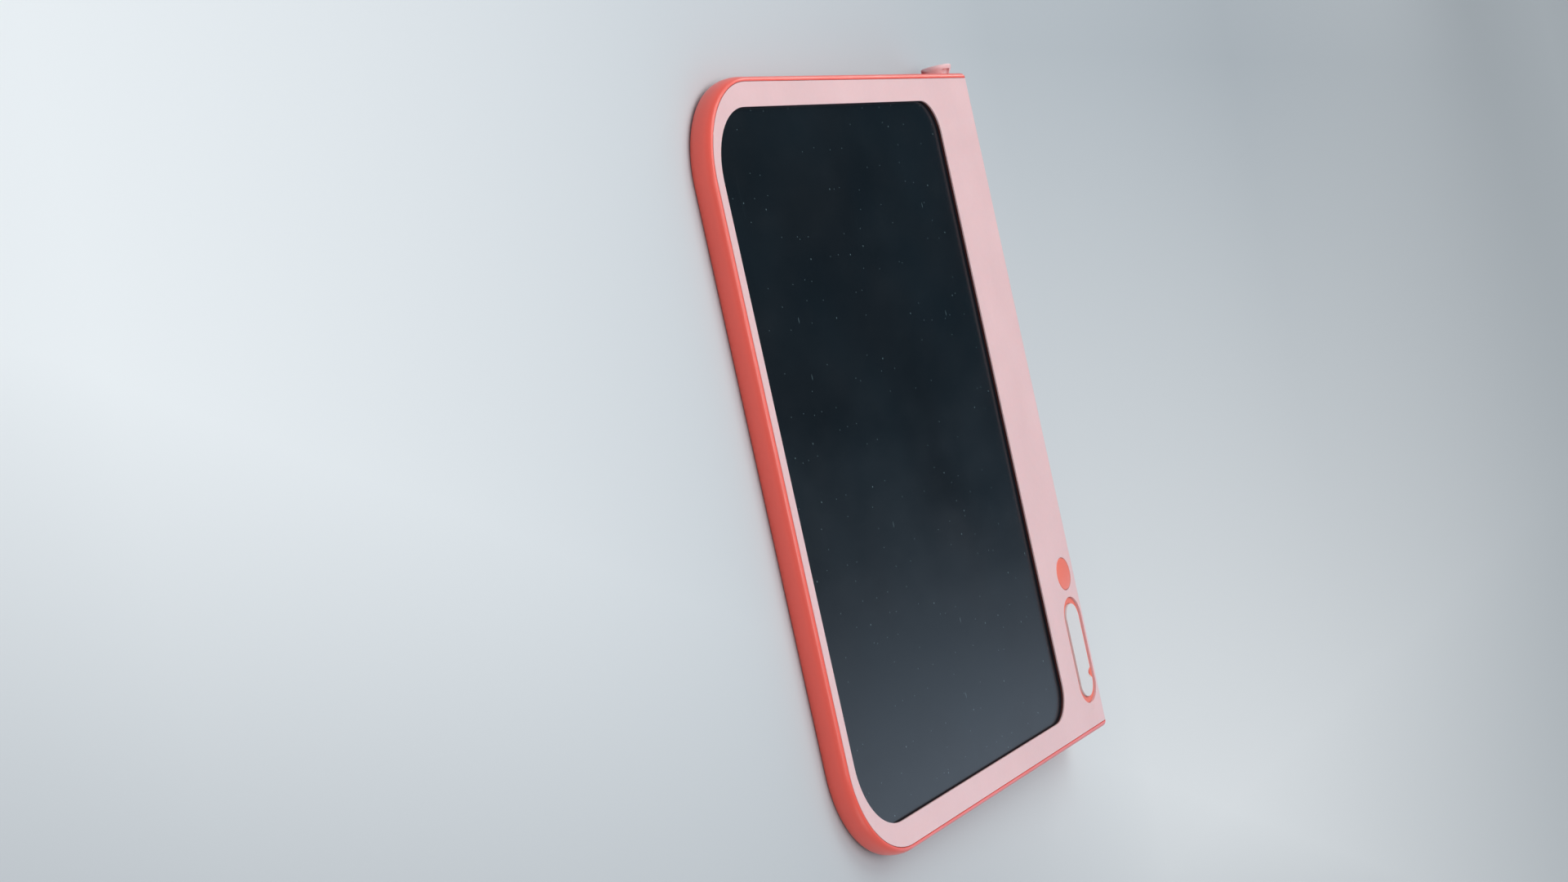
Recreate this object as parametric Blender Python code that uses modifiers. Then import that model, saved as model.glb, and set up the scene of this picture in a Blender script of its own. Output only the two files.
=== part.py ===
"""Child's LCD drawing tablet whose fat spine stores the stylus, the coin cell and the electronics.

The tablet is modelled flat, face up, in its own frame. X runs along the spine from the stylus
end (-X) to the lock end (+X). Y runs from the hand edge to the spine, whose outermost line is
the nose. Z runs out of the writing face and is zero on the flat back. The last step tips the
tablet onto its spine and its hand edge, as it lies on a table, and puts the origin on the table
under the middle of the whole object. All sizes are in metres.
"""

import math

import bmesh
import bpy
from mathutils import Matrix, Vector

# Body, seen from the face
BODY_LENGTH = 0.270
BODY_THICKNESS = 0.0087
OPENING_DEPTH = 0.179
STYLUS_END_BAND = 0.0088
LOCK_END_BAND = 0.0093
HAND_BAND = 0.0044
SPINE_BAND = 0.037
CORNER_RADIUS = 0.0357
OPENING_HAND_RADIUS = 0.025
OPENING_SPINE_RADIUS = 0.013
OPENING_CHAMFER = 0.0004

# Bumper round the hand edge and both ends
BUMPER_WALL = 0.0022
BUMPER_RIM = 0.0018

# Spine section, seen along the tablet
SPINE_THICKNESS = 0.0195
SPINE_RADIUS = 0.00975
NOSE_RADIUS = 0.004
FOOT_RADIUS = 0.004
FLANK_ANGLE = math.radians(70)

# Shells
SHELL_WALL = 0.0018
SCREEN_LIP = 0.0006
PARTING_HEIGHT = 0.0022
RIB_WIDTH = 0.0012
FIT_GAP = 0.0003
BOND_GAP = 0.0001
OVERRUN = 0.002

# Screen, the foam frame that seals it to the shell's lip, and the plate behind it
SCREEN_THICKNESS = 0.0012
SCREEN_OVERLAP = 0.0016
GASKET_THICKNESS = 0.0007
GASKET_SETBACK = 0.0001
BACKER_THICKNESS = 0.0014
RIB_COUNT_ALONG = 3
RIB_COUNT_ACROSS = 4

# Inset panel on the back
PANEL_THICKNESS = 0.0008
PANEL_END_MARGIN = 0.027
PANEL_NOSE_MARGIN = 0.027
PANEL_HAND_MARGIN = 0.016
PANEL_SPINE_CORNER = 0.0015
PANEL_HAND_CORNER = 0.020
PANEL_PIP_RADIUS = 0.0008
PANEL_PIP_HEIGHT = 0.0003
PANEL_PIP_INSET = 0.0032

# Case screws under the back panel
SCREW_NOSE_MARGIN = 0.031
SCREW_FROM_END = 0.0405
SCREW_COUNT = 4
SCREW_HEAD_RADIUS = 0.0020
SCREW_HEAD_HEIGHT = 0.0012
SCREW_SHANK_RADIUS = 0.0011
SCREW_LENGTH = 0.0042
SCREW_LAND = 0.0014
SCREW_BOSS_WALL = 0.0011
DRIVE_SIZE = 0.0016
DRIVE_DEPTH = 0.0006
DRIVE_SHARES = ((1, 0.25), (0.25, 1))

# Erase button and its switch
CONTROL_NOSE_MARGIN = 0.013
BUTTON_FROM_WELL = 0.0032
BUTTON_RADIUS = 0.0065
BUTTON_DOME = 0.0004
BUTTON_FLANGE = 0.0008
BUTTON_FLANGE_THICKNESS = 0.0012
BUTTON_STEM_RADIUS = 0.0018
BUTTON_TRAVEL = 0.0005
BUTTON_GUIDE_WALL = 0.0008
SWITCH_BODY_SIZE = 0.0060
SWITCH_BODY_HEIGHT = 0.0031
SWITCH_PLUNGER_RADIUS = 0.0017
SWITCH_PLUNGER_HEIGHT = 0.0008
SWITCH_PLUNGER_TRAVEL = 0.00025

# Name plate and the tray it lifts out of
PLATE_FROM_OPENING_END = 0.022
PLATE_LENGTH = 0.038
PLATE_WIDTH = 0.0123
PLATE_THICKNESS = 0.0010
PLATE_DROP = 0.0001
PLATE_SCOOP_RADIUS = 0.0034
PLATE_SCOOP_DEPTH = 0.0018
PLATE_SCOOP_FROM_END = 0.0095
WELL_END_BORDER = 0.0026
WELL_SIDE_BORDER = 0.0023
WELL_DEPTH = 0.0008
WELL_FLOOR = 0.0010
WELL_FLANGE = 0.0008

# Lock switch in the nose
LOCK_FROM_END = 0.0222
LOCK_HEIGHT = 0.0019
LOCK_SLOT_LENGTH = 0.0133
LOCK_SLOT_WIDTH = 0.0060
LOCK_CAP_LENGTH = 0.0094
LOCK_BASE_THICKNESS = 0.0008
LOCK_BASE_MARGIN = 0.0042
LOCK_BASE_FLANK = 0.0007
LOCK_RIB_HEIGHT = 0.0004
LOCK_RIB_WIDTH = 0.0008
LOCK_RIB_SPACING = 0.0026
LOCK_FORK_REACH = 0.0012
LOCK_LEVER_WIDTH = 0.0014
LOCK_LEVER_HEIGHT = 0.0014
LOCK_LEVER_DEPTH = 0.0014
LOCK_SWITCH_LENGTH = 0.0090
LOCK_SWITCH_DEPTH = 0.0038
LOCK_SWITCH_HEIGHT = 0.0034
LOCK_SWITCH_SLOT = 0.0020

# Coin-cell tray and its latch, in the nose
TRAY_FROM_END = 0.1213
TRAY_FACE_LENGTH = 0.0205
TRAY_FACE_HEIGHT = 0.0064
TRAY_FACE_THICKNESS = 0.0020
TRAY_FLEX_GAP = 0.0012
TRAY_WALL = 0.0008
TRAY_LEDGE = 0.0006
TRAY_GUIDE_DEPTH = 0.007
TRAY_SIDE_REACH = 0.006
CELL_RADIUS = 0.010
CELL_THICKNESS = 0.0025
CELL_GAP = 0.0002
CELL_HEIGHT = 0.00345
CONTACT_WAY_WIDTH = 0.0070
LATCH_LENGTH = 0.0057
LATCH_ARM_WIDTH = 0.0010
LATCH_ARM_HEIGHT = 0.0030
LATCH_ARM_LENGTH = 0.015
LATCH_TRAVEL = 0.0008
LATCH_SCOOP_RADIUS = 0.0042
LATCH_SCOOP_DEPTH = 0.0007

# Circuit board and what is on it
BOARD_FROM_TRAY = 0.0078
BOARD_WIDTH = 0.0140
BOARD_THICKNESS = 0.0012
BOARD_TOP = 0.0001
BOARD_NOSE_MARGIN = 0.0036
BOARD_END_MARGIN = 0.0015
BOARD_POST_RADIUS = 0.0022
BOARD_POST_ALONG = 0.0065
BOARD_POST_ACROSS = 0.0040
BOARD_SCREW_RADIUS = 0.0007
BOARD_SCREW_HEAD_RADIUS = 0.0014
BOARD_SCREW_HEAD_HEIGHT = 0.0008
BOARD_SCREW_LENGTH = 0.0045
CHIP_LENGTH = 0.0050
CHIP_WIDTH = 0.0040
CHIP_HEIGHT = 0.0010
CHIP_FROM_BUTTON = 0.0150
CABLE_WIDTH = 0.012
CABLE_THICKNESS = 0.0002
CABLE_RUN_ON_BOARD = 0.004
CABLE_STAND_OFF = 0.0006
CONTACT_WIDTH = 0.0040
CONTACT_THICKNESS = 0.0003
CONTACT_PAD = 0.0030
CONTACT_REACH = 0.0035

# Stylus, its sleeve and its head
STYLUS_NOSE_MARGIN = 0.0094
STYLUS_BELOW_FACE = 0.0089
STYLUS_RADIUS = 0.0040
STYLUS_TAPER_LENGTH = 0.012
STYLUS_NOSE_RADIUS = 0.0020
STYLUS_TIP_RADIUS = 0.0009
STYLUS_TIP_LENGTH = 0.004
SLEEVE_WALL = 0.0009
SLEEVE_FROM_TRAY = 0.0181
HEAD_RADIUS = 0.0061
HEAD_FOOT_RADIUS = 0.0046
HEAD_HEIGHT = 0.0041
HEAD_RIM_HEIGHT = 0.0013
HEAD_RIM_ROUND = 0.0004
HEAD_NOTCH_HEIGHT = 0.0022
HEAD_NOTCH_DEPTH = 0.0026
HEAD_NOTCH_WIDTH = 0.0042
CRADLE_THICKNESS = 0.0016
CRADLE_SHARES = (0.14, 0.76)

# Round shapes
CORNER_STEPS = 9
SPINE_STEPS = 16
NOSE_STEPS = 6
CAPSULE_STEPS = 10
ROUND_STEPS = 32
SMALL_ROUND_STEPS = 20
BEVEL_STEPS = 3
SMOOTH_ANGLE = math.radians(32)
MERGE_DISTANCE = 1e-6

# Places worked out from the sizes above
BODY_DEPTH = BUMPER_WALL + HAND_BAND + OPENING_DEPTH + SPINE_BAND
END = BODY_LENGTH / 2
NOSE = BODY_DEPTH / 2
FACE = BODY_THICKNESS
SHELL_INSET = BUMPER_WALL + FIT_GAP
OPENING_START = -END + BUMPER_WALL + STYLUS_END_BAND
OPENING_END = END - BUMPER_WALL - LOCK_END_BAND
OPENING_HAND = -NOSE + BUMPER_WALL + HAND_BAND
OPENING_SPINE = OPENING_HAND + OPENING_DEPTH
SPINE_CENTRE_Y = NOSE - SPINE_RADIUS
SPINE_CENTRE_Z = FACE - SPINE_THICKNESS + SPINE_RADIUS
CEILING = FACE - SHELL_WALL
GASKET_TOP = FACE - SCREEN_LIP - BOND_GAP
GASKET_BOTTOM = GASKET_TOP - GASKET_THICKNESS
SCREEN_TOP = GASKET_BOTTOM - BOND_GAP
SCREEN_BOTTOM = SCREEN_TOP - SCREEN_THICKNESS
BACKER_TOP = SCREEN_BOTTOM - FIT_GAP
BACKER_BOTTOM = BACKER_TOP - BACKER_THICKNESS
POCKET_TOP = PANEL_THICKNESS + FIT_GAP
CONTROL_Y = NOSE - CONTROL_NOSE_MARGIN
BUTTON_GUIDE_LOW = CEILING - BUTTON_FLANGE_THICKNESS - BUTTON_TRAVEL - 2 * BUTTON_GUIDE_WALL
PLATE_X = OPENING_END - PLATE_FROM_OPENING_END
WELL_LENGTH = PLATE_LENGTH + 2 * WELL_END_BORDER
WELL_WIDTH = PLATE_WIDTH + 2 * WELL_SIDE_BORDER
BUTTON_X = PLATE_X - WELL_LENGTH / 2 - BUTTON_FROM_WELL - BUTTON_RADIUS
LOCK_X = END - LOCK_FROM_END
LOCK_TRAVEL = LOCK_SLOT_LENGTH - LOCK_CAP_LENGTH - 2 * FIT_GAP
LOCK_REST_X = LOCK_X + LOCK_TRAVEL / 2
TRAY_LENGTH = TRAY_FACE_LENGTH + TRAY_FLEX_GAP + LATCH_LENGTH
TRAY_START = END - TRAY_FROM_END - TRAY_LENGTH / 2
TRAY_END = TRAY_START + TRAY_LENGTH
CELL_X = TRAY_START + FIT_GAP + TRAY_WALL + CELL_GAP + CELL_RADIUS
CELL_Y = NOSE - TRAY_FACE_THICKNESS - TRAY_WALL - CELL_GAP - CELL_RADIUS - FIT_GAP
CELL_TOP = CELL_HEIGHT + CELL_THICKNESS / 2
CELL_BOTTOM = CELL_HEIGHT - CELL_THICKNESS / 2
TRAY_BOTTOM = CELL_BOTTOM - CELL_GAP - TRAY_LEDGE
BOARD_END = END - SHELL_INSET - SHELL_WALL - BOARD_END_MARGIN
BOARD_START = TRAY_END + BOARD_FROM_TRAY
BOARD_NOSE_Y = NOSE - BOARD_NOSE_MARGIN
BOARD_INNER_Y = BOARD_NOSE_Y - BOARD_WIDTH
BOARD_BOTTOM = BOARD_TOP - BOARD_THICKNESS
STYLUS_Y = NOSE - STYLUS_NOSE_MARGIN
STYLUS_Z = FACE - STYLUS_BELOW_FACE
HEAD_BASE_X = -END - FIT_GAP
SLEEVE_START = -END + SHELL_INSET + SHELL_WALL + FIT_GAP
SLEEVE_END = TRAY_START - SLEEVE_FROM_TRAY
STYLUS_TIP_END = SLEEVE_END - SLEEVE_WALL - FIT_GAP
SLEEVE_BORE = STYLUS_RADIUS + FIT_GAP

# Axes of a flat outline: its first, second and extruded directions
FLAT = Matrix.Identity(4)
ACROSS = Matrix(((0, 0, 1, 0), (1, 0, 0, 0), (0, 1, 0, 0), (0, 0, 0, 1)))
FRONTAL = Matrix(((1, 0, 0, 0), (0, 0, 1, 0), (0, 1, 0, 0), (0, 0, 0, 1)))

PARTS = "drawing_tablet"
CUTTERS = "cutters"

# Colour, roughness and metallic value of each finish
FINISHES = {
    "pink_shell": ((0.80, 0.52, 0.53), 0.48, 0.0),
    "pink_gloss": ((0.80, 0.52, 0.53), 0.18, 0.0),
    "coral_rubber": ((0.83, 0.17, 0.11), 0.52, 0.0),
    "coral_plastic": ((0.83, 0.17, 0.11), 0.40, 0.0),
    "screen": ((0.012, 0.016, 0.020), 0.16, 0.0),
    "white_plastic": ((0.78, 0.79, 0.80), 0.40, 0.0),
    "black_plastic": ((0.02, 0.02, 0.02), 0.50, 0.0),
    "black_foam": ((0.012, 0.010, 0.010), 0.85, 0.0),
    "board_green": ((0.02, 0.17, 0.07), 0.45, 0.0),
    "cable_amber": ((0.50, 0.20, 0.04), 0.40, 0.0),
    "steel": ((0.60, 0.60, 0.62), 0.30, 1.0),
}


def clear_scene():
    """Remove what the scene holds at the start and make the two collections."""
    for item in list(bpy.data.objects):
        bpy.data.objects.remove(item)
    for name in (PARTS, CUTTERS):
        collection = bpy.data.collections.new(name)
        bpy.context.scene.collection.children.link(collection)


def make_finish(name):
    """Principled material of a named finish, made once."""
    if name in bpy.data.materials:
        return bpy.data.materials[name]
    colour, roughness, metallic = FINISHES[name]
    material = bpy.data.materials.new(name)
    material.use_nodes = True
    shader = material.node_tree.nodes["Principled BSDF"]
    shader.inputs["Base Color"].default_value = (*colour, 1)
    shader.inputs["Roughness"].default_value = roughness
    shader.inputs["Metallic"].default_value = metallic
    return material


def add_object(name, data):
    """Object in the cutters' collection, where every shape starts."""
    item = bpy.data.objects.new(name, data)
    bpy.data.collections[CUTTERS].objects.link(item)
    item.hide_render = True
    item.display_type = "WIRE"
    return item


def evaluated_mesh(item):
    """Mesh of an object with its modifiers or curve settings applied."""
    bpy.context.view_layer.update()
    depsgraph = bpy.context.evaluated_depsgraph_get()
    return bpy.data.meshes.new_from_object(item.evaluated_get(depsgraph))


def tidy_mesh(mesh, face_outwards=True):
    """Merge doubled points and, on a shape with no hollow inside, turn all faces outwards."""
    shape = bmesh.new()
    shape.from_mesh(mesh)
    bmesh.ops.remove_doubles(shape, verts=shape.verts, dist=MERGE_DISTANCE)
    if face_outwards:
        bmesh.ops.recalc_face_normals(shape, faces=shape.faces)
    shape.to_mesh(mesh)
    shape.free()


def bake(item, face_outwards=False):
    """Replace an object's mesh and modifiers by the evaluated mesh."""
    mesh = evaluated_mesh(item)
    item.modifiers.clear()
    item.data = mesh
    tidy_mesh(mesh, face_outwards)


def arc(centre, radius, start, end, steps):
    """Points along an arc, both ends included."""
    points = []
    for step in range(steps + 1):
        angle = start + (end - start) * step / steps
        points.append((centre[0] + radius * math.cos(angle), centre[1] + radius * math.sin(angle)))
    return points


def rounded_outline(low, high, radii, steps=CORNER_STEPS):
    """Rectangle with one radius a corner, counter-clockwise from the low corner."""
    (x0, y0), (x1, y1) = low, high
    r0, r1, r2, r3 = radii
    quarter = math.pi / 2
    outline = arc((x0 + r0, y0 + r0), r0, 2 * quarter, 3 * quarter, steps)
    outline += arc((x1 - r1, y0 + r1), r1, 3 * quarter, 4 * quarter, steps)
    outline += arc((x1 - r2, y1 - r2), r2, 0, quarter, steps)
    outline += arc((x0 + r3, y1 - r3), r3, quarter, 2 * quarter, steps)
    return outline


def capsule_outline(centre, length, width):
    """Capsule lying along the first axis."""
    low = (centre[0] - length / 2, centre[1] - width / 2)
    high = (centre[0] + length / 2, centre[1] + width / 2)
    return rounded_outline(low, high, (width / 2,) * 4, CAPSULE_STEPS)


def extruded(name, outline, low, high, axes=FLAT):
    """Solid with a flat outline, from low to high along the extruded direction."""
    curve = bpy.data.curves.new(name, "CURVE")
    curve.dimensions = "2D"
    curve.fill_mode = "BOTH"
    curve.extrude = (high - low) / 2
    spline = curve.splines.new("POLY")
    spline.points.add(len(outline) - 1)
    for point, (u, v) in zip(spline.points, outline):
        point.co = (u, v, 0, 1)
    spline.use_cyclic_u = True
    blank = add_object(name, curve)
    mesh = evaluated_mesh(blank)
    bpy.data.objects.remove(blank)
    mesh.transform(axes @ Matrix.Translation((0, 0, (low + high) / 2)))
    tidy_mesh(mesh)
    return add_object(name, mesh)


def block(name, x_span, y_span, z_span):
    """Box between two places on each axis."""
    spans = (x_span, y_span, z_span)
    size = Vector([high - low for low, high in spans])
    middle = Vector([(high + low) / 2 for low, high in spans])
    shape = bmesh.new()
    bmesh.ops.create_cube(shape, size=1)
    bmesh.ops.scale(shape, vec=size, verts=shape.verts)
    bmesh.ops.translate(shape, vec=middle, verts=shape.verts)
    mesh = bpy.data.meshes.new(name)
    shape.to_mesh(mesh)
    shape.free()
    return add_object(name, mesh)


def drum(name, radius, low, high, centre, axes=FLAT, steps=ROUND_STEPS, end_radius=None):
    """Cylinder or cone from low to high along the extruded direction, round a centre."""
    shape = bmesh.new()
    bmesh.ops.create_cone(
        shape, cap_ends=True, segments=steps, depth=high - low,
        radius1=radius, radius2=radius if end_radius is None else end_radius,
    )
    place = Matrix.Translation((centre[0], centre[1], (low + high) / 2))
    bmesh.ops.transform(shape, matrix=axes @ place, verts=shape.verts)
    mesh = bpy.data.meshes.new(name)
    shape.to_mesh(mesh)
    shape.free()
    tidy_mesh(mesh)
    return add_object(name, mesh)


def turned(name, profile, place, steps=ROUND_STEPS):
    """Profile of radius and height, outside from top to bottom, turned round its own Z."""
    mesh = bpy.data.meshes.new(name)
    points = [(radius, 0, height) for radius, height in profile]
    mesh.from_pydata(points, [(i, i + 1) for i in range(len(points) - 1)], [])
    item = add_object(name, mesh)
    screw = item.modifiers.new("Turn", "SCREW")
    screw.steps = steps
    screw.render_steps = steps
    screw.use_merge_vertices = True
    screw.merge_threshold = MERGE_DISTANCE
    bake(item, True)
    item.data.transform(place)
    return item


def combine(target, tool, operation):
    """Boolean of a target with a tool, which is used up."""
    modifier = target.modifiers.new(operation.title(), "BOOLEAN")
    modifier.operation = operation
    modifier.solver = "EXACT"
    modifier.object = tool
    bake(target)
    bpy.data.objects.remove(tool)
    return target


def carve(target, *tools):
    """Cut each tool out of the target."""
    for tool in tools:
        combine(target, tool, "DIFFERENCE")
    return target


def fuse(target, *tools):
    """Join each tool to the target."""
    for tool in tools:
        combine(target, tool, "UNION")
    return target


def trim(target, tool):
    """Keep the part of the target that lies inside the tool."""
    return combine(target, tool, "INTERSECT")


def soften(item, width, steps=BEVEL_STEPS):
    """Round the sharp edges of an object."""
    bevel = item.modifiers.new("Rim", "BEVEL")
    bevel.width = width
    bevel.segments = steps
    bevel.limit_method = "ANGLE"
    bevel.angle_limit = SMOOTH_ANGLE
    bake(item)
    return item


def finish_part(item, finish, origin=(0, 0, 0)):
    """Turn a finished shape into a named part with its material and its origin."""
    bpy.data.collections[CUTTERS].objects.unlink(item)
    bpy.data.collections[PARTS].objects.link(item)
    item.hide_render = False
    item.display_type = "TEXTURED"
    item.data.transform(Matrix.Translation(-Vector(origin)))
    item.location = origin
    item.data.materials.clear()
    item.data.materials.append(make_finish(finish))
    item.data.shade_smooth()
    item.data.set_sharp_from_angle(angle=SMOOTH_ANGLE)
    return item


# Outlines that several pieces share


def foot_centre_y():
    """Where the hollow fillet between the spine and the flat back is centred."""
    normal_y = -math.sin(FLANK_ANGLE)
    normal_z = -math.cos(FLANK_ANGLE)
    drop = -FOOT_RADIUS - SPINE_CENTRE_Z
    return SPINE_CENTRE_Y + (SPINE_RADIUS + FOOT_RADIUS - normal_z * drop) / normal_y


def section_outline(inset):
    """Tablet section across the spine, shrunk by an inset, as Y and Z points."""
    bottom = -math.pi / 2
    hand = -NOSE - OVERRUN
    nose_centre = (NOSE - NOSE_RADIUS, FACE - NOSE_RADIUS)
    outline = [(hand, inset), (hand, FACE - inset)]
    outline += arc(nose_centre, NOSE_RADIUS - inset, math.pi / 2, 0, NOSE_STEPS)
    outline += arc((SPINE_CENTRE_Y, SPINE_CENTRE_Z), SPINE_RADIUS - inset,
                   0, bottom - FLANK_ANGLE, SPINE_STEPS)
    outline += arc((foot_centre_y(), -FOOT_RADIUS), FOOT_RADIUS + inset,
                   math.pi / 2 - FLANK_ANGLE, math.pi / 2, NOSE_STEPS)
    return outline


def plan_outline(inset):
    """Tablet outline seen from the face, shrunk by an inset, open past the nose."""
    radius = CORNER_RADIUS - inset
    low = (-END + inset, -NOSE + inset)
    high = (END - inset, NOSE + OVERRUN)
    return rounded_outline(low, high, (radius, radius, OVERRUN / 2, OVERRUN / 2))


def body_blank(name, plan_inset, section_inset):
    """Solid tablet shrunk by one inset at its edges and another across its section."""
    reach = END + OVERRUN
    blank = extruded(name, section_outline(section_inset), -reach, reach, ACROSS)
    depth = SPINE_THICKNESS + OVERRUN
    return trim(blank, extruded("plan", plan_outline(plan_inset), -depth, depth))


def shell_limit(name):
    """Solid that ends inside the shells' walls, to trim ribs and posts to length."""
    return body_blank(name, SHELL_INSET + SHELL_WALL / 2, SHELL_WALL / 2)


def screen_outline(margin):
    """Screen opening grown by a margin, with its own corner radii."""
    low = (OPENING_START - margin, OPENING_HAND - margin)
    high = (OPENING_END + margin, OPENING_SPINE + margin)
    hand = OPENING_HAND_RADIUS + margin
    spine = OPENING_SPINE_RADIUS + margin
    return rounded_outline(low, high, (hand, hand, spine, spine))


def panel_outline(margin):
    """Back panel's outline grown by a margin."""
    end = END - PANEL_END_MARGIN + margin
    low = (-end, -NOSE + PANEL_HAND_MARGIN - margin)
    high = (end, NOSE - PANEL_NOSE_MARGIN + margin)
    hand = PANEL_HAND_CORNER + margin
    spine = PANEL_SPINE_CORNER + margin
    return rounded_outline(low, high, (hand, hand, spine, spine))


def screw_places():
    """Middle of each case screw, as X and Y."""
    last = END - SCREW_FROM_END
    y = NOSE - SCREW_NOSE_MARGIN
    return [(-last + 2 * last * i / (SCREW_COUNT - 1), y) for i in range(SCREW_COUNT)]


def board_screw_places():
    """Middle of each board screw, as X and Y."""
    y = BOARD_INNER_Y + BOARD_POST_ACROSS
    return [(BOARD_START + BOARD_POST_ALONG, y), (BOARD_END - BOARD_POST_ALONG, y)]


# Heights along the case screws, from the back inwards
SCREW_LEDGE = POCKET_TOP + SCREW_HEAD_HEIGHT + FIT_GAP
SCREW_POST_TOP = SCREW_LEDGE + SCREW_LAND
SCREW_HOLE_RADIUS = SCREW_SHANK_RADIUS + FIT_GAP
SCREW_WELL_RADIUS = SCREW_HEAD_RADIUS + FIT_GAP
SCREW_TIP = POCKET_TOP + SCREW_HEAD_HEIGHT + SCREW_LENGTH


def tray_hole():
    """Opening for the coin-cell tray through the nose of both shells."""
    half = TRAY_FACE_HEIGHT / 2 + FIT_GAP
    return block(
        "tray_hole", (TRAY_START - FIT_GAP, TRAY_END + FIT_GAP),
        (NOSE - SHELL_WALL - 2 * FIT_GAP, NOSE + OVERRUN),
        (PARTING_HEIGHT - half, PARTING_HEIGHT + half),
    )


def stylus_hole():
    """Way for the stylus and its sleeve through the end walls of both shells."""
    return drum("stylus_way", SLEEVE_BORE, -END - OVERRUN, SLEEVE_START + OVERRUN,
                (STYLUS_Y, STYLUS_Z), ACROSS)


def lock_hole():
    """Capsule opening for the lock slider through the nose of both shells."""
    outline = capsule_outline((LOCK_X, LOCK_HEIGHT), LOCK_SLOT_LENGTH, LOCK_SLOT_WIDTH)
    return extruded("lock_hole", outline, NOSE - SHELL_WALL - 2 * FIT_GAP, NOSE + OVERRUN, FRONTAL)


def make_bumper():
    """Soft bumper: hand edge, both end strips and the two spine caps in one moulding."""
    bumper = soften(body_blank("bumper", 0, 0), BUMPER_RIM)
    depth = SPINE_THICKNESS + OVERRUN
    carve(bumper, extruded("inside", plan_outline(BUMPER_WALL), -depth, depth))
    finish_part(carve(bumper, stylus_hole()), "coral_rubber")


def opening_chamfer():
    """Wedge that breaks the edge of the screen opening."""
    shape = bmesh.new()
    rings = []
    for height, margin in ((FACE - OPENING_CHAMFER, 0), (FACE + OPENING_CHAMFER, 2 * OPENING_CHAMFER)):
        ring = [shape.verts.new((x, y, height)) for x, y in screen_outline(margin)]
        shape.faces.new(ring)
        rings.append(ring)
    edges = [shape.edges.get((ring[i - 1], ring[i])) for ring in rings for i in range(len(ring))]
    bmesh.ops.bridge_loops(shape, edges=edges)
    mesh = bpy.data.meshes.new("opening_chamfer")
    shape.to_mesh(mesh)
    shape.free()
    tidy_mesh(mesh)
    return add_object("opening_chamfer", mesh)


def make_front_shell():
    """Pink face, with the screen window, the button and name plate holes and the bosses."""
    shell = body_blank("front_shell", SHELL_INSET, 0)
    carve(shell, body_blank("hollow", SHELL_INSET + SHELL_WALL, SHELL_WALL))
    reach = END + OVERRUN
    parting = PARTING_HEIGHT + FIT_GAP / 2
    carve(shell, block("below", (-reach, reach), (-reach, reach),
                       (-SPINE_THICKNESS - OVERRUN, parting)))
    button = (BUTTON_X, CONTROL_Y)
    guide = drum("guide", BUTTON_RADIUS + BUTTON_FLANGE + FIT_GAP + BUTTON_GUIDE_WALL,
                 BUTTON_GUIDE_LOW, CEILING + SHELL_WALL / 2, button)
    fuse(shell, guide)
    boss_radius = SCREW_HOLE_RADIUS + SCREW_BOSS_WALL
    for place in screw_places():
        fuse(shell, drum("boss", boss_radius, SCREW_POST_TOP + FIT_GAP, CEILING + SHELL_WALL / 2,
                         place, steps=SMALL_ROUND_STEPS))
    for place in screw_places():
        carve(shell, drum("pilot", SCREW_HOLE_RADIUS, SCREW_POST_TOP - OVERRUN,
                          SCREW_TIP + FIT_GAP, place, steps=SMALL_ROUND_STEPS))
    carve(
        shell,
        extruded("rebate", screen_outline(SCREEN_OVERLAP + FIT_GAP), CEILING - OVERRUN,
                 FACE - SCREEN_LIP),
        extruded("window", screen_outline(0), CEILING - OVERRUN, FACE + OVERRUN),
        opening_chamfer(),
        drum("guide_bore", BUTTON_RADIUS + BUTTON_FLANGE + FIT_GAP,
             BUTTON_GUIDE_LOW - OVERRUN, CEILING, button),
        drum("button_hole", BUTTON_RADIUS + FIT_GAP, CEILING - OVERRUN, FACE + OVERRUN, button),
        extruded("well_hole", capsule_outline((PLATE_X, CONTROL_Y), WELL_LENGTH + 2 * FIT_GAP,
                                              WELL_WIDTH + 2 * FIT_GAP),
                 CEILING - OVERRUN, FACE + OVERRUN),
        stylus_hole(),
        tray_hole(),
        lock_hole(),
    )
    finish_part(shell, "pink_shell")


def floor_ribs():
    """Ribs under the screen's backing plate, joined into one grid."""
    top = BACKER_BOTTOM - FIT_GAP
    z_span = (SHELL_WALL / 2, top)
    x_span = (OPENING_START, OPENING_END)
    y_span = (OPENING_HAND, OPENING_SPINE)
    bars = []
    for i in range(RIB_COUNT_ALONG):
        y = OPENING_HAND + OPENING_DEPTH * (i + 1) / (RIB_COUNT_ALONG + 1)
        bars.append(block("rib", x_span, (y - RIB_WIDTH / 2, y + RIB_WIDTH / 2), z_span))
    for i in range(RIB_COUNT_ACROSS):
        x = OPENING_START + (OPENING_END - OPENING_START) * (i + 1) / (RIB_COUNT_ACROSS + 1)
        bars.append(block("rib", (x - RIB_WIDTH / 2, x + RIB_WIDTH / 2), y_span, z_span))
    return fuse(*bars)


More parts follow.
